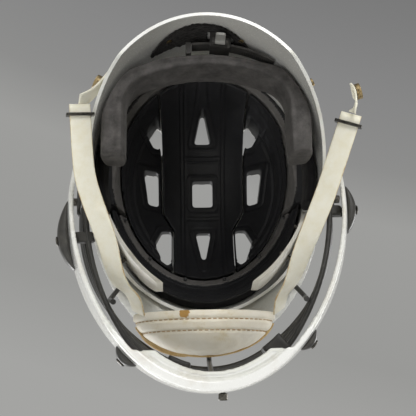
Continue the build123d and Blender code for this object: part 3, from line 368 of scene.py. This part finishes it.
helmet = {"halfWidth": 108, "halfLength": 127, "middleY": 40, "crownWide": 86.4, "crownLong": 96.5,
          "crownY": 57.8, "crownMean": 90, "headMiddle": (0, 45, 120), "headFacing": 0.3}


def crownDistance(x, y):
    # Millimetres in plan outside the liner's oval edge, negative inside it
    out = math.hypot(x / helmet["crownWide"], (y - helmet["crownY"]) / helmet["crownLong"])
    return (out - 1) * helmet["crownMean"]


def headSide(point, normal):
    toHead = (Vector(helmet["headMiddle"]) * mm - point).normalized()
    return toHead.dot(normal) > helmet["headFacing"]


def outlineDistance(x, y, corners):
    # Millimetres in plan from a point to a closed outline
    best = math.inf
    for (ax, ay), (bx, by) in zip(corners, corners[1:] + corners[:1]):
        dx, dy = bx - ax, by - ay
        t = clamped(((x - ax) * dx + (y - ay) * dy) / (dx * dx + dy * dy))
        best = min(best, math.hypot(x - ax - t * dx, y - ay - t * dy))
    return best


# Liner panels of moulded foam

liner = {"voxel": 1.35, "rounds": 4, "grooveX": 23.5, "doubleStep": 4.2, "groove": (1.5, 1.5),
         "crossY": [100, 38], "crossStep": 4.0, "frameStep": 5.2, "edgeSteps": [5.5, 12],
         "edgeGroove": (2.0, 1.9), "spineLumps": [(0.25, 60)], "sideLumps": [(0.3, 60)]}

# Corners of the vents, as shares of the shell's half width and half length from its middle
ventShares = {
    "spine": [[(-0.107, 0.31), (0.107, 0.31), (0.107, 0.085), (-0.107, 0.085)],
              [(0, 0.85), (0.09, 0.59), (-0.09, 0.59)],
              [(-0.08, -0.16), (0.08, -0.16), (0, -0.5)]],
    "side": [[(0.43, 0.72), (0.56, 0.57), (0.49, 0.5), (0.43, 0.52)],
             [(0.46, 0.34), (0.6, 0.32), (0.56, 0.05), (0.46, 0.05)],
             [(0.33, -0.16), (0.43, -0.17), (0.49, -0.29), (0.42, -0.46), (0.33, -0.49)]],
}
vents = {name: [[(x * helmet["halfWidth"], helmet["middleY"] + y * helmet["halfLength"]) for x, y in corners]
                for corners in outlines] for name, outlines in ventShares.items()}


def spineRelief(point, normal):
    # Sewn double grooves along the spine and across it, and a pressed frame round each vent
    if not headSide(point, normal):
        return 0.0
    x, y = point.x / mm, point.y / mm
    aside = abs(x) - liner["grooveX"]
    far = [aside, aside + liner["doubleStep"]]
    if far[1] < 0:
        far += [y - crossY + side * liner["crossStep"] / 2 for crossY in liner["crossY"] for side in (-1, 1)]
    far += [outlineDistance(x, y, corners) - liner["frameStep"] for corners in vents["spine"]]
    return groove(*liner["groove"], *far) + lumps(point, liner["spineLumps"])


def sideRelief(point, normal):
    # Raised ribs along the oval edge and a pressed frame round each vent
    if not headSide(point, normal):
        return 0.0
    x, y = point.x / mm, point.y / mm
    edges = [crownDistance(x, y) + step for step in liner["edgeSteps"]]
    frames = [outlineDistance(abs(x), y, corners) - liner["frameStep"] for corners in vents["side"]]
    depth = min(groove(*liner["edgeGroove"], *edges), groove(*liner["groove"], *frames))
    return depth + lumps(point, liner["sideLumps"])


# Foam ring and brow pad

ring = {"grooves": [(7.5, 1.9, 2.0), (11.5, 1.6, 1.4), (20, 1.8, 1.2)], "band": (-4, 7),
        "lumps": [(0.45, 60)]}

brow = {"low": 160, "fade": 18, "lowShare": 0.875, "moreShare": 0.085, "backY": 24}


def ringRelief(point, normal):
    # A thin soft band next to the liner, then a groove, then two sewn lines on the thick foam
    if not headSide(point, normal):
        return 0.0
    far = crownDistance(point.x / mm, point.y / mm)
    lowest = min(groove(width, depth, far - at) for at, width, depth in ring["grooves"])
    return lowest + lumps(point, ring["lumps"])


def bandFaces(mesh, band):
    # The strip of a ring next to the liner takes the second material
    mesh.materials.append(band)
    first, last = ring["band"]
    for polygon in mesh.polygons:
        if first < crownDistance(polygon.center.x / mm, polygon.center.y / mm) < last:
            polygon.material_index = 1


def browShape(x, y, z):
    # The brow pad's lower edge is cut back, so the shell's white wall shows below it
    out = math.hypot(x / helmet["halfWidth"], (y - helmet["middleY"]) / helmet["halfLength"])
    limit = brow["lowShare"] + brow["moreShare"] * clamped((z - brow["low"]) / brow["fade"])
    share = min(1.0, limit / out) if y < brow["backY"] else 1.0
    return x * share, helmet["middleY"] + (y - helmet["middleY"]) * share, z


# Rear pad in its felt cover

rearPad = {"halfWidth": 80, "flatY": -17.9, "flatRadius": 150, "cornerX": 45.9, "cornerY": 88.6,
           "cornerRadius": 34, "seamTop": 40, "seamAt": -3.8, "seamHalf": 1.8, "seamHeight": 1.5,
           "grooveAt": 0.2, "groove": (2.2, 1.6), "lumps": [(0.7, 38), (0.35, 130)], "fuller": 0.085,
           "fullerFade": 7, "fullerFrom": 0.4, "shellShare": 0.915}


def rearOffset(x, y):
    # Millimetres in plan outside the rear pad's middle line
    if y < rearPad["cornerY"]:
        return abs(x) - rearPad["halfWidth"]
    dx, dy = abs(x) - rearPad["cornerX"], y - rearPad["cornerY"]
    if dx * (rearPad["cornerY"] - rearPad["flatY"]) > dy * rearPad["cornerX"]:
        return math.hypot(dx, dy) - rearPad["cornerRadius"]
    return math.hypot(x, y - rearPad["flatY"]) - rearPad["flatRadius"]


def rearRelief(point, normal):
    # A raised seam along the lower inner edge, one sewn line beside it, and soft lumpy filling
    across = rearOffset(point.x / mm, point.y / mm)
    seam = 0.0
    if point.z / mm < rearPad["seamTop"]:
        raised = max(0.0, 1 - abs(across - rearPad["seamAt"]) / rearPad["seamHalf"])
        seam = rearPad["seamHeight"] * raised + groove(*rearPad["groove"], across - rearPad["grooveAt"])
    return seam + lumps(point, rearPad["lumps"])


def rearShape(x, y, z):
    # The felt cover is fuller than the pad on its outer side, most of all at its two ends
    share = clamped(rearOffset(x, y) / rearPad["fullerFade"] + rearPad["fullerFrom"])
    along = (y - helmet["middleY"]) / helmet["halfLength"]
    room = helmet["halfWidth"] * math.sqrt(max(0.0, rearPad["shellShare"] ** 2 - along ** 2))
    fuller = min(abs(x) * (1 + rearPad["fuller"] * share), room)
    return math.copysign(max(abs(x), fuller), x), y, z


# Side pads under velour, and the band of loop pile on the rear adjuster

velour = {"lumps": [(0.4, 55), (0.25, 160)]}

fleece = {"voxel": 1.0, "rounds": 1, "top": 56, "low": 16, "rise": 30, "middleX": 5, "halfLength": 46,
          "taper": 2.4, "lumps": [(0.9, 420), (0.5, 900)]}


def velourRelief(point, normal):
    return lumps(point, velour["lumps"])


def pileRelief(point, normal):
    # Loops of the pile stand up unevenly
    return lumps(point, fleece["lumps"])


def fleeceShape(x, y, z):
    # The band is cut to a point at both ends
    tall = fleece["top"] - fleece["low"]
    rise = fleece["rise"] * min(1.0, abs(x - fleece["middleX"]) / fleece["halfLength"]) ** fleece["taper"]
    return x, y, fleece["top"] - (fleece["top"] - z) * (tall - rise) / tall


pads = {
    "liner_spine": {"cover": linerFoam, "slot": "black_foam", "relief": spineRelief, "fill": 0.7},
    "liner_side_left": {"cover": linerFoam, "slot": "black_foam", "relief": sideRelief, "fill": 0.7},
    "liner_side_right": {"cover": linerFoam, "slot": "black_foam", "relief": sideRelief, "fill": 0.7},
    "brow_pad": {"cover": linerFoam, "slot": "black_foam", "relief": ringRelief, "fill": 0.7,
                 "band": ringFoam, "shape": browShape},
    "foam_ring_left": {"cover": linerFoam, "slot": "grey_foam", "relief": ringRelief, "fill": 0.7,
                       "band": ringFoam},
    "foam_ring_right": {"cover": linerFoam, "slot": "grey_foam", "relief": ringRelief, "fill": 0.7,
                        "band": ringFoam},
    "rear_pad": {"cover": feltCover, "slot": "grey_felt", "relief": rearRelief, "fill": 0.8,
                 "shape": rearShape, "body": "rear_cushion"},
    "side_pad_left": {"cover": velourCover, "slot": "black_velvet", "relief": velourRelief, "fill": 0.7},
    "side_pad_right": {"cover": velourCover, "slot": "black_velvet", "relief": velourRelief, "fill": 0.7},
    "fleece_strip": {"cover": loopBand, "slot": "black_velvet", "relief": pileRelief, "fill": 0.3,
                     "shape": fleeceShape, "form": fleece},
}


def makePads():
    for node, facts in pads.items():
        mesh = pressed(softened(node, facts.get("form", liner)), facts["relief"])
        if "shape" in facts:
            reshaped(mesh, facts["shape"])
        piece = remade(node, node + "_foam", mesh, facts["cover"], facts.get("body", "helmet"))
        if "band" in facts:
            bandFaces(mesh, facts["band"])
        print("pad", node, len(mesh.vertices), "points")


makePads()


# Chin guard, moulded with a rounded lip that has a crease; its flare is over 100 mm of height

guard = {"voxel": 1.3, "rounds": 3, "wide": 112, "flare": 21, "long": 161, "mean": 150, "lipY": -104,
         "lipTop": 5, "crease": 8.5, "creaseGroove": (1.8, 1.1), "outerStep": 0.5}


def guardRelief(point, normal):
    # A crease between the lip's outer band and its thinner inner face
    if point.y / mm > guard["lipY"] or point.z / mm > guard["lipTop"]:
        return 0.0
    inside = (1 - math.hypot(point.x / mm / guard["wide"], point.y / mm / guard["long"])) * guard["mean"]
    step = guard["outerStep"] if inside < guard["crease"] else 0.0
    return step + groove(*guard["creaseGroove"], inside - guard["crease"])


# Visor, thick along its lower edge, where it closes against the brow

visor = {"voxel": 1.2, "rounds": 2, "top": 182, "fade": 14, "thick": 7.5, "innerFrom": 0.2, "innerFade": 0.3}


def visorRelief(point, normal):
    away = Vector((point.x, point.y - helmet["middleY"] * mm, 0)).normalized()
    inner = clamped((-normal.dot(away) - visor["innerFrom"]) / visor["innerFade"])
    return visor["thick"] * inner * clamped((visor["top"] - point.z / mm) / visor["fade"])


remade("chin_guard", "chin_guard_moulding", pressed(softened("chin_guard", guard), guardRelief),
       shellWhite)
remade("visor", "visor_shell", pressed(softened("visor", visor), visorRelief), shellWhite)
print("guard and visor made")


# Rubber clips, which lose their square edges in the mould

clips = {"voxel": 0.9, "rounds": 24, "lumps": [(0.3, 90)], "shrink": 0.1}
armClips = {"voxel": 0.9, "rounds": 40, "drawnIn": 0.52}
clipNodes = {"front_clip_left": clips, "front_clip_right": clips, "arm_clip_left": armClips,
             "arm_clip_right": armClips, "mask_clip_left": clips, "mask_clip_right": clips}


def rubberRelief(point, normal):
    return lumps(point, clips["lumps"]) - clips["shrink"]


def drawnIn(mesh, share):
    # Draws a block in towards its middle along Y and Z, as its ends are hidden by the wires
    middle = sum((vertex.co for vertex in mesh.vertices), Vector()) / len(mesh.vertices)
    for vertex in mesh.vertices:
        away = vertex.co - middle
        vertex.co = middle + Vector((away.x, away.y * share, away.z * share))


def makeClips():
    for node, form in clipNodes.items():
        mesh = pressed(softened(node, form), rubberRelief)
        if "drawnIn" in form:
            drawnIn(mesh, form["drawnIn"])
        remade(node, node + "_rubber", mesh, clipRubber)


makeClips()
print("rubber clips made")


# Meshes from rings of points

def closedTube(build, rings):
    # Faces between rings of points, and a cap at both ends
    count = len(rings[0])
    for before, after in zip(rings, rings[1:]):
        for k in range(count):
            onward = (k + 1) % count
            build.faces.new((before[k], before[onward], after[onward], after[k]))
    build.faces.new(list(reversed(rings[0])))
    build.faces.new(rings[-1])


def meshFrom(build, name):
    bmesh.ops.recalc_face_normals(build, faces=build.faces)
    mesh = bpy.data.meshes.new(name)
    build.to_mesh(mesh)
    build.free()
    return mesh


# Straps and tabs of woven webbing

band = {"wall": 1.8, "steps": 8, "lumps": [(0.3, 45)],
        "edgeShares": [(-0.97, 0.75), (-0.9, 1), (-0.6, 1), (-0.3, 1), (0, 1), (0.3, 1), (0.6, 1), (0.9, 1),
                       (0.97, 0.75)]}

# A route's rows are a place on the band's middle line and the direction across the band there
straps = {
    "chin_strap_left": {"flat": (18, 198), "restsOn": ["strap_slider_left", "chin_cup"], "route": [
        (109.0, 80.2, 10.0, 0.966, -0.104, -0.237), (106.4, 35.1, 19.1, 0.966, -0.104, -0.237),
        (103.8, 16.6, 23.2, 0.962, -0.245, -0.123), (98.5, -1.2, 27.4, 0.945, -0.327, 0.013),
        (92.0, -18.8, 31.4, 0.935, -0.311, 0.170), (86.1, -36.2, 36.2, 0.930, -0.153, 0.335),
        (82.0, -53.3, 43.7, 0.885, 0.042, 0.463), (76.3, -67.5, 54.9, 0.798, 0.124, 0.590),
        (66.9, -76.3, 68.9, 0.723, 0.277, 0.633), (62.5, -89.4, 81.2, 0.641, 0.391, 0.661)]},
    "chin_strap_right": {"flat": (18, 189), "restsOn": ["strap_slider_right", "chin_cup"], "route": [
        (-124.0, 70.1, 12.1, -0.906, -0.371, -0.202), (-104.5, 15.0, 25.9, -0.906, -0.371, -0.202),
        (-99.0, 0.3, 29.7, -0.916, -0.390, -0.092), (-93.0, -14.1, 33.7, -0.922, -0.384, 0.045),
        (-86.8, -28.3, 38.3, -0.919, -0.334, 0.210), (-80.8, -42.3, 43.7, -0.903, -0.207, 0.377),
        (-75.7, -56.2, 50.1, -0.859, -0.025, 0.511), (-70.7, -68.9, 58.6, -0.780, 0.160, 0.605),
        (-64.6, -78.2, 70.3, -0.725, 0.364, 0.585), (-62.5, -89.4, 81.2, -0.631, 0.459, 0.626)]},
    "snap_tab_left": {"flat": (16, 78), "restsOn": ["snap_studs", "strap_slider_left"], "route": [
        (109.1, 82.4, 9.5, -0.229, 0.514, -0.827), (101.4, 90.4, 16.1, -0.237, 0.439, -0.867),
        (95.2, 100.0, 22.2, -0.245, 0.368, -0.897), (89.7, 110.5, 27.4, -0.245, 0.292, -0.924),
        (83.9, 121.1, 31.8, -0.227, 0.204, -0.952), (76.7, 131.4, 34.9, -0.179, 0.101, -0.979),
        (67.5, 140.3, 36.7, -0.097, 0.000, -0.995)]},
    "snap_tab_right": {"flat": (16, 28), "restsOn": ["strap_slider_right"], "body": "free_tab", "route": [
        (-124.4, 71.3, 11.8, 0.073, 0.602, 0.795), (-126.3, 75.2, 10.1, -0.033, 0.176, 0.984),
        (-127.8, 79.6, 10.1, -0.145, -0.230, 0.962), (-128.7, 83.9, 11.6, -0.216, -0.445, 0.869),
        (-129.1, 88.0, 13.9, -0.260, -0.540, 0.801), (-128.9, 91.7, 16.7, -0.288, -0.575, 0.766),
        (-128.0, 95.2, 19.6, -0.301, -0.563, 0.770)]},
}


def smoothStations(route, steps):
    # Catmull-Rom curve through the route, as (centre, across) stations
    stations = [(Vector(row[:3]) * mm, Vector(row[3:]).normalized()) for row in route]
    points = []
    last = len(stations) - 1
    for index in range(last):
        quad = [stations[max(0, min(last, index + k))] for k in (-1, 0, 1, 2)]
        for step in range(steps):
            t = step / steps
            w = (-0.5 * t + t * t - 0.5 * t ** 3, 1 - 2.5 * t * t + 1.5 * t ** 3,
                 0.5 * t + 2 * t * t - 1.5 * t ** 3, -0.5 * t * t + 0.5 * t ** 3)
            centre = sum((quad[k][0] * w[k] for k in range(4)), Vector())
            across = sum((quad[k][1] * w[k] for k in range(4)), Vector()).normalized()
            points.append((centre, across))
    points.append(stations[last])
    return points


def bandMesh(name, stations, width):
    # Closed band with rounded edges; UV layer "band" holds real distances across and along
    top = band["edgeShares"]
    shares = [(-1, 0)] + top + [(1, 0)] + [(x, -z) for x, z in reversed(top)]
    outline = [(x * width / 2 * mm, z * band["wall"] / 2 * mm) for x, z in shares]
    build = bmesh.new()
    layer = build.loops.layers.uv.new("band")
    rings = []
    flat = {}
    run = 0.0
    for index, (centre, across) in enumerate(stations):
        after = stations[min(index + 1, len(stations) - 1)][0]
        before = stations[max(index - 1, 0)][0]
        along = (after - before).normalized()
        side = (across - along * across.dot(along)).normalized()
        up = side.cross(along).normalized()
        if index:
            run += (centre - before).length
        lift = lumps(centre, band["lumps"]) * mm
        rings.append([build.verts.new(centre + side * x + up * (z + lift)) for x, z in outline])
        flat.update({corner: (x, run) for corner, (x, z) in zip(rings[-1], outline)})
    closedTube(build, rings)
    for face in build.faces:
        for loop in face.loops:
            loop[layer].uv = flat[loop.vert]
    return meshFrom(build, name)


def makeStraps():
    for node, facts in straps.items():
        mesh = bandMesh(node, smoothStations(facts["route"], band["steps"]), facts["flat"][0])
        piece = remade(node, node + "_band", mesh, webbing, facts.get("body", "helmet"))


makeStraps()
print("straps made")


# The side hooks and corner tabs are moulded over their screw heads as smooth rubber humps

humps = {
    "side_hook_left": {"turns": (91.5, 69.5), "screw": 79.5, "height": 48.4, "peak": 10.6, "width": 16,
                       "skew": 1.05},
    "side_hook_right": {"turns": (-96, -81), "screw": -88.5, "height": 54.7, "peak": 8.6, "width": 14,
                        "skew": 1.0},
    "corner_tab_left": {"turns": (31, 40.5), "screw": 35.8, "height": 27, "peak": 7.2, "width": 15,
                        "skew": 1.0},
    "corner_tab_right": {"turns": (-37.6, -46), "screw": -41.8, "height": 27, "peak": 6.6, "width": 15,
                         "skew": 1.0},
}

humpForm = {"rings": 37, "sides": 24, "end": 0.006, "low": 1.2, "rise": 0.85, "narrow": 0.45, "bulge": 0.5,
            "off": 0.5, "square": 0.62}

button = {"profile": [(4.2, 0), (4.2, 0.7), (3.8, 1.2), (2.9, 1.55), (2.1, 1.65), (2.0, 1.6), (2.0, 0.7)],
          "sides": 24, "socket": 2.0, "sunk": 0.5}

frontScrew = {"voxel": 0.4, "rounds": 2, "reach": 20}


def guardPlace(turn, height, stand):
    # Point this far off the guard's outer wall, by its angle from straight ahead
    wide = guard["wide"] + guard["flare"] * height / 100
    x, y = wide * math.sin(turn), -guard["long"] * math.cos(turn)
    away = Vector((x / wide ** 2, y / guard["long"] ** 2, 0)).normalized()
    return Vector((x, y, height)) + away * stand


def squared(value):
    # Keeps the sign and fills out the corners of a round section
    return math.copysign(abs(value) ** humpForm["square"], value)


def humpMesh(name, facts):
    build = bmesh.new()
    first, last = (math.radians(turn) for turn in facts["turns"])
    rings = []
    for index in range(humpForm["rings"]):
        share = humpForm["end"] + (1 - 2 * humpForm["end"]) * index / (humpForm["rings"] - 1)
        swell = math.sin(math.pi * share ** facts["skew"])
        high = humpForm["low"] + (facts["peak"] - humpForm["low"]) * swell ** humpForm["rise"]
        narrow = humpForm["narrow"]
        half = facts["width"] / 2 * (narrow + (1 - narrow) * swell ** humpForm["bulge"])
        turn = first + (last - first) * share
        line = []
        for k in range(humpForm["sides"]):
            angle = 2 * math.pi * k / humpForm["sides"]
            stand = humpForm["off"] + (high - humpForm["off"]) * (1 + squared(math.cos(angle))) / 2
            place = guardPlace(turn, facts["height"] + half * squared(math.sin(angle)), stand)
            line.append(build.verts.new(place * mm))
        rings.append(line)
    closedTube(build, rings)
    return meshFrom(build, name)


def buttonHead(build, facts):
    # Low button head with a six-sided socket, let into the top of a hump
    turn = math.radians(facts["screw"])
    middle = guardPlace(turn, facts["height"], facts["peak"] - button["sunk"])
    away = (middle - guardPlace(turn, facts["height"], 0)).normalized()
    side = away.cross(Vector((0, 0, 1))).normalized()
    up = away.cross(side)
    rings = []
    for radius, rise in button["profile"]:
        line = []
        for k in range(button["sides"]):
            angle = 2 * math.pi * k / button["sides"]
            sixSided = math.cos(math.pi / 6) / math.cos((angle % (math.pi / 3)) - math.pi / 6)
            reach = radius * (sixSided if radius <= button["socket"] else 1)
            place = middle + away * rise + (side * math.cos(angle) + up * math.sin(angle)) * reach
            line.append(build.verts.new(place * mm))
        rings.append(line)
    closedTube(build, rings)


def makeGuardScrews():
    # The front screw keeps its CAD shape; the other four show only as button heads
    build = bmesh.new()
    source = softened("guard_screws", frontScrew)
    build.from_mesh(source)
    bpy.data.meshes.remove(source)
    away = [vertex for vertex in build.verts if abs(vertex.co.x) > frontScrew["reach"] * mm]
    bmesh.ops.delete(build, geom=away, context="VERTS")
    for facts in humps.values():
        buttonHead(build, facts)
    remade("guard_screws", "guard_screw_heads", meshFrom(build, "guard screws"), screwSteel)


def makeHumps():
    for node, facts in humps.items():
        remade(node, node + "_hump", humpMesh(node, facts), clipRubber)


makeHumps()
makeGuardScrews()
print("hooks and tabs made")


# Chin cup, with its binding and stitches

cup = {"half": (64, 37, 36), "middle": (4, -90, 96), "rows": 44, "columns": 84, "fill": 0.7,
       "skin": (0, 3.4), "foam": (4.4, 8.6), "seams": [7.5, 17], "groove": (1.6, 1.5), "puff": 0.7,
       "lumps": [(0.6, 50), (0.35, 160)], "weld": 0.02}

thread = {"stitch": 3.4, "gap": 1.4, "radius": 0.45, "sides": 6, "inset": 0.9, "steps": 400, "start": 0.02}

binding = {"turns": (0.28, 2.9), "drop": 0.03, "inset": 0.6, "points": 260, "radius": 2.0, "sides": 10,
           "rib": 1.7, "ribShare": 0.14}

curl = {"turns": (0.5, 1.32), "drop": -0.02, "inset": -0.4, "points": 200, "radius": 3.1, "sides": 14,
        "endShare": 0.3}


def cupPoint(turn, drop, inset):
    # Turn runs from ear to ear round the front, drop from the top edge down to the bottom
    a, b, c = (size - inset for size in cup["half"])
    x, y, z = a * math.cos(turn) * math.cos(drop), -b * math.sin(turn) * math.cos(drop), -c * math.sin(drop)
    return Vector(cup["middle"]) + Vector((x, y, z))


def cupRelief(point):
    # Stitched channels that follow the cup's back edge, and soft wrinkles
    fromBack = cup["middle"][1] - point.y
    depth = groove(*cup["groove"], *(fromBack - seam for seam in cup["seams"]))
    puff = cup["puff"] * math.sin(min(1.0, fromBack / cup["seams"][0]) * math.pi)
    return depth + puff + lumps(point * mm, cup["lumps"])


def cupGrid(build, inset, uneven):
    grid = []
    for row in range(cup["rows"] + 1):
        drop = math.pi / 2 * row / cup["rows"]
        line = []
        for column in range(cup["columns"] + 1):
            turn = math.pi * column / cup["columns"]
            relief = cupRelief(cupPoint(turn, drop, inset)) if uneven else 0.0
            line.append(build.verts.new(cupPoint(turn, drop, inset - relief) * mm))
        grid.append(line)
    for above, below in zip(grid, grid[1:]):
        for column in range(cup["columns"]):
            build.faces.new((above[column], above[column + 1], below[column + 1], below[column]))
    return grid


def cupLayer(node, name, insets, material):
    # Two skins joined round the cup's open edge; all the points of the last row meet at the bottom
    build = bmesh.new()
    outer, inner = cupGrid(build, insets[0], True), cupGrid(build, insets[1], False)
    rows, columns = cup["rows"], cup["columns"]
    edge = [(row, 0) for row in range(rows, 0, -1)] + [(0, column) for column in range(columns)]
    edge += [(row, columns) for row in range(rows + 1)]
    for (row, column), (nextRow, nextColumn) in zip(edge, edge[1:]):
        build.faces.new((outer[row][column], inner[row][column], inner[nextRow][nextColumn],
                         outer[nextRow][nextColumn]))
    bmesh.ops.remove_doubles(build, verts=build.verts, dist=cup["weld"] * mm)
    piece = remade(node, name, meshFrom(build, name), material)


def tubeMesh(name, points, radiusAt, sides):
    # Closed round tube along points, all in millimetres; radiusAt gives the radius at each run length
    build = bmesh.new()
    rings = []
    run = 0.0
    for index, point in enumerate(points):
        after = points[min(index + 1, len(points) - 1)]
        before = points[max(index - 1, 0)]
        along = (after - before).normalized()
        side = along.orthogonal().normalized() if not rings else (side - along * side.dot(along)).normalized()
        up = along.cross(side)
        if index:
            run += (point - before).length
        radius = radiusAt(run)
        line = []
        for k in range(sides):
            turn = 2 * math.pi * k / sides
            spoke = (side * math.cos(turn) + up * math.sin(turn)) * radius
            line.append(build.verts.new((point + spoke) * mm))
        rings.append(line)
    closedTube(build, rings)
    return meshFrom(build, name)


def edgePoints(facts):
    # Points along the cup's top edge
    first, last = facts["turns"]
    turns = [first + (last - first) * index / (facts["points"] - 1) for index in range(facts["points"])]
    return [cupPoint(turn, facts["drop"], facts["inset"]) for turn in turns]


def makeBinding():
    # Rolled and ribbed binding round the cup's top edge
    def ribbed(run):
        return 1 - binding["ribShare"] + binding["ribShare"] * abs(math.sin(run * math.pi / binding["rib"]))

    tube = tubeMesh("binding", edgePoints(binding), lambda run: binding["radius"] * ribbed(run),
                    binding["sides"])
    newPiece("chin_cup_binding", tube, wornBinding, "helmet")

    # On the wearer's left the binding has come away and curls into a thicker roll
    points = edgePoints(curl)
    length = sum((after - before).length for before, after in zip(points, points[1:]))

    def curled(run):
        swell = math.sin(math.pi * min(1, run / length)) ** 0.5
        return curl["radius"] * (curl["endShare"] + (1 - curl["endShare"]) * swell) * ribbed(run)

    tube = tubeMesh("curl", points, curled, curl["sides"])
    newPiece("chin_cup_roll", tube, wornBinding, "helmet")


def stitchLines():
    # Short runs of points, one for each stitch, that follow the two channels
    stitches = []
    for seam in cup["seams"]:
        share = math.sqrt(1 - (seam / cup["half"][1]) ** 2)
        a, c = ((cup["half"][axis] - thread["inset"]) * share for axis in (0, 2))
        line = []
        for index in range(thread["steps"] + 1):
            turn = math.pi * (thread["start"] + (1 - 2 * thread["start"]) * index / thread["steps"])
            line.append(Vector(cup["middle"]) + Vector((a * math.cos(turn), -seam, -c * math.sin(turn))))
        run = 0.0
        part = []
        for before, after in zip(line, line[1:]):
            run += (after - before).length
            if run % (thread["stitch"] + thread["gap"]) < thread["stitch"]:
                part.append(after)
                continue
            if len(part) > 2:
                stitches.append(part)
            part = []
    return stitches


def makeStitches():
    build = bmesh.new()
    stitches = stitchLines()
    for part in stitches:
        mesh = tubeMesh("stitch", part, lambda run: thread["radius"], thread["sides"])
        build.from_mesh(mesh)
        bpy.data.meshes.remove(mesh)
    newPiece("chin_cup_stitches", meshFrom(build, "stitches"), tanThread, "helmet")
    print("stitches", len(stitches))


cupLayer("chin_cup", "chin_cup_shell", cup["skin"], cupSkin)
cupLayer("chin_cup_lining", "chin_cup_pad", cup["foam"], cupFoam)
makeBinding()
makeStitches()
print("chin cup made")


# Camera, room and lamps

lens = {"place": (20.603, -174.453, -595.688), "right": (-0.99945413, -0.01962461, -0.02657647),
        "up": (-0.01210092, 0.96600457, -0.25824164), "forward": (-0.03074088, 0.25777907, 0.96571473),
        "focalPixels": 760, "framePixels": 416}


def makeCamera():
    data = bpy.data.cameras.new("camera")
    data.sensor_width = 36
    data.lens = lens["focalPixels"] / lens["framePixels"] * data.sensor_width
    camera = bpy.data.objects.new("camera", data)
    bpy.context.scene.collection.objects.link(camera)
    right, up, forward = (Vector(lens[key]) for key in ("right", "up", "forward"))
    turn = Matrix((right, up, -forward)).transposed().to_4x4()
    camera.matrix_world = Matrix.Translation(Vector(lens["place"]) * mm) @ turn
    bpy.context.scene.camera = camera


room = {"fill": "#ffffff", "fillStrength": 0.5, "floor": "#c9c9c6", "floorHalf": 3.0, "slant": -0.3,
        "aim": (0, 0, 0.1),
        "backdrop": [(0.0, "#a4a4a2"), (0.12, "#999997"), (0.3, "#9d9d9b"), (0.37, "#8d8d8c"),
                     (0.46, "#868686"), (0.6, "#767676")]}


def makeBackdrop():
    # Soft white light all round; the grey backdrop shows only to the eye, in gloss and through clear things
    world = bpy.data.worlds.new("studio")
    bpy.context.scene.world = world
    world.use_nodes = True
    tree = world.node_tree
    tree.nodes.clear()
    path = addNode(tree, "ShaderNodeLightPath")
    direct = addNode(tree, "ShaderNodeMath", {"operation": "MAXIMUM"}, {
        0: path.outputs["Is Camera Ray"], 1: path.outputs["Is Transmission Ray"]})
    seen = addNode(tree, "ShaderNodeMath", {"operation": "MAXIMUM"}, {
        0: direct.outputs[0], 1: path.outputs["Is Glossy Ray"]})
    place = addNode(tree, "ShaderNodeSeparateXYZ", {}, {
        "Vector": addNode(tree, "ShaderNodeTexCoord").outputs["Generated"]})
    rise = addNode(tree, "ShaderNodeMath", {"operation": "MULTIPLY_ADD"}, {
        0: place.outputs["X"], 1: room["slant"], 2: place.outputs["Y"]})
    paper = addNode(tree, "ShaderNodeValToRGB", {}, {"Fac": rise.outputs[0]}, room["backdrop"])
    shown = addNode(tree, "ShaderNodeBackground", {}, {"Color": paper.outputs["Color"], "Strength": 1.0})
    lit = addNode(tree, "ShaderNodeBackground", {}, {
        "Color": colour(room["fill"]), "Strength": room["fillStrength"]})
    mix = addNode(tree, "ShaderNodeMixShader", {}, {
        0: seen.outputs[0], 1: lit.outputs["Background"], 2: shown.outputs["Background"]})
    addNode(tree, "ShaderNodeOutputWorld", {}, {"Surface": mix.outputs["Shader"]})


def makeFloor():
    # Matt paper that catches shadows from above and is clear from below, where the camera stands
    material, tree = startMaterial("paper floor")[:2]
    path = addNode(tree, "ShaderNodeLightPath")
    below = addNode(tree, "ShaderNodeNewGeometry").outputs["Backfacing"]
    through = addNode(tree, "ShaderNodeMath", {"operation": "MAXIMUM"}, {
        0: below, 1: path.outputs["Is Shadow Ray"]})
    paper = addNode(tree, "ShaderNodeBsdfDiffuse", {}, {"Color": colour(room["floor"])})
    clear = addNode(tree, "ShaderNodeBsdfTransparent")
    mix = addNode(tree, "ShaderNodeMixShader", {}, {
        0: through.outputs[0], 1: paper.outputs["BSDF"], 2: clear.outputs["BSDF"]})
    addNode(tree, "ShaderNodeOutputMaterial", {}, {"Surface": mix.outputs["Shader"]})
    mesh = bpy.data.meshes.new("floor")
    half = room["floorHalf"]
    corners = [(-half, -half, 0), (half, -half, 0), (half, half, 0), (-half, half, 0)]
    mesh.from_pydata(corners, [], [(0, 1, 2, 3)])
    floor = bpy.data.objects.new("floor", mesh)
    bpy.context.scene.collection.objects.link(floor)
    floor.data.materials.append(material)


lamps = {
    "below": {"place": (0.35, -0.55, -0.85), "size": 0.7, "power": 4.4},
    "belowBack": {"place": (-0.3, 0.5, -0.7), "size": 0.6, "power": 4.5},
    "key": {"place": (0.9, -0.8, 1.2), "size": 0.9, "power": 15},
    "side": {"place": (-1.2, -0.2, 0.7), "size": 0.8, "power": 8},
}


def makeLamps():
    # Each lamp is a soft disc that looks at the helmet's middle
    for name, facts in lamps.items():
        data = bpy.data.lights.new(name, "AREA")
        data.shape = "DISK"
        data.size = facts["size"]
        data.energy = facts["power"]
        lamp = bpy.data.objects.new(name, data)
        bpy.context.scene.collection.objects.link(lamp)
        lamp.location = facts["place"]
        lamp.rotation_euler = (Vector(room["aim"]) - lamp.location).to_track_quat("-Z", "Y").to_euler()


makeCamera()
makeBackdrop()
makeFloor()
makeLamps()
bpy.context.scene.view_settings.view_transform = "Standard"
print("camera, room and lamps made")
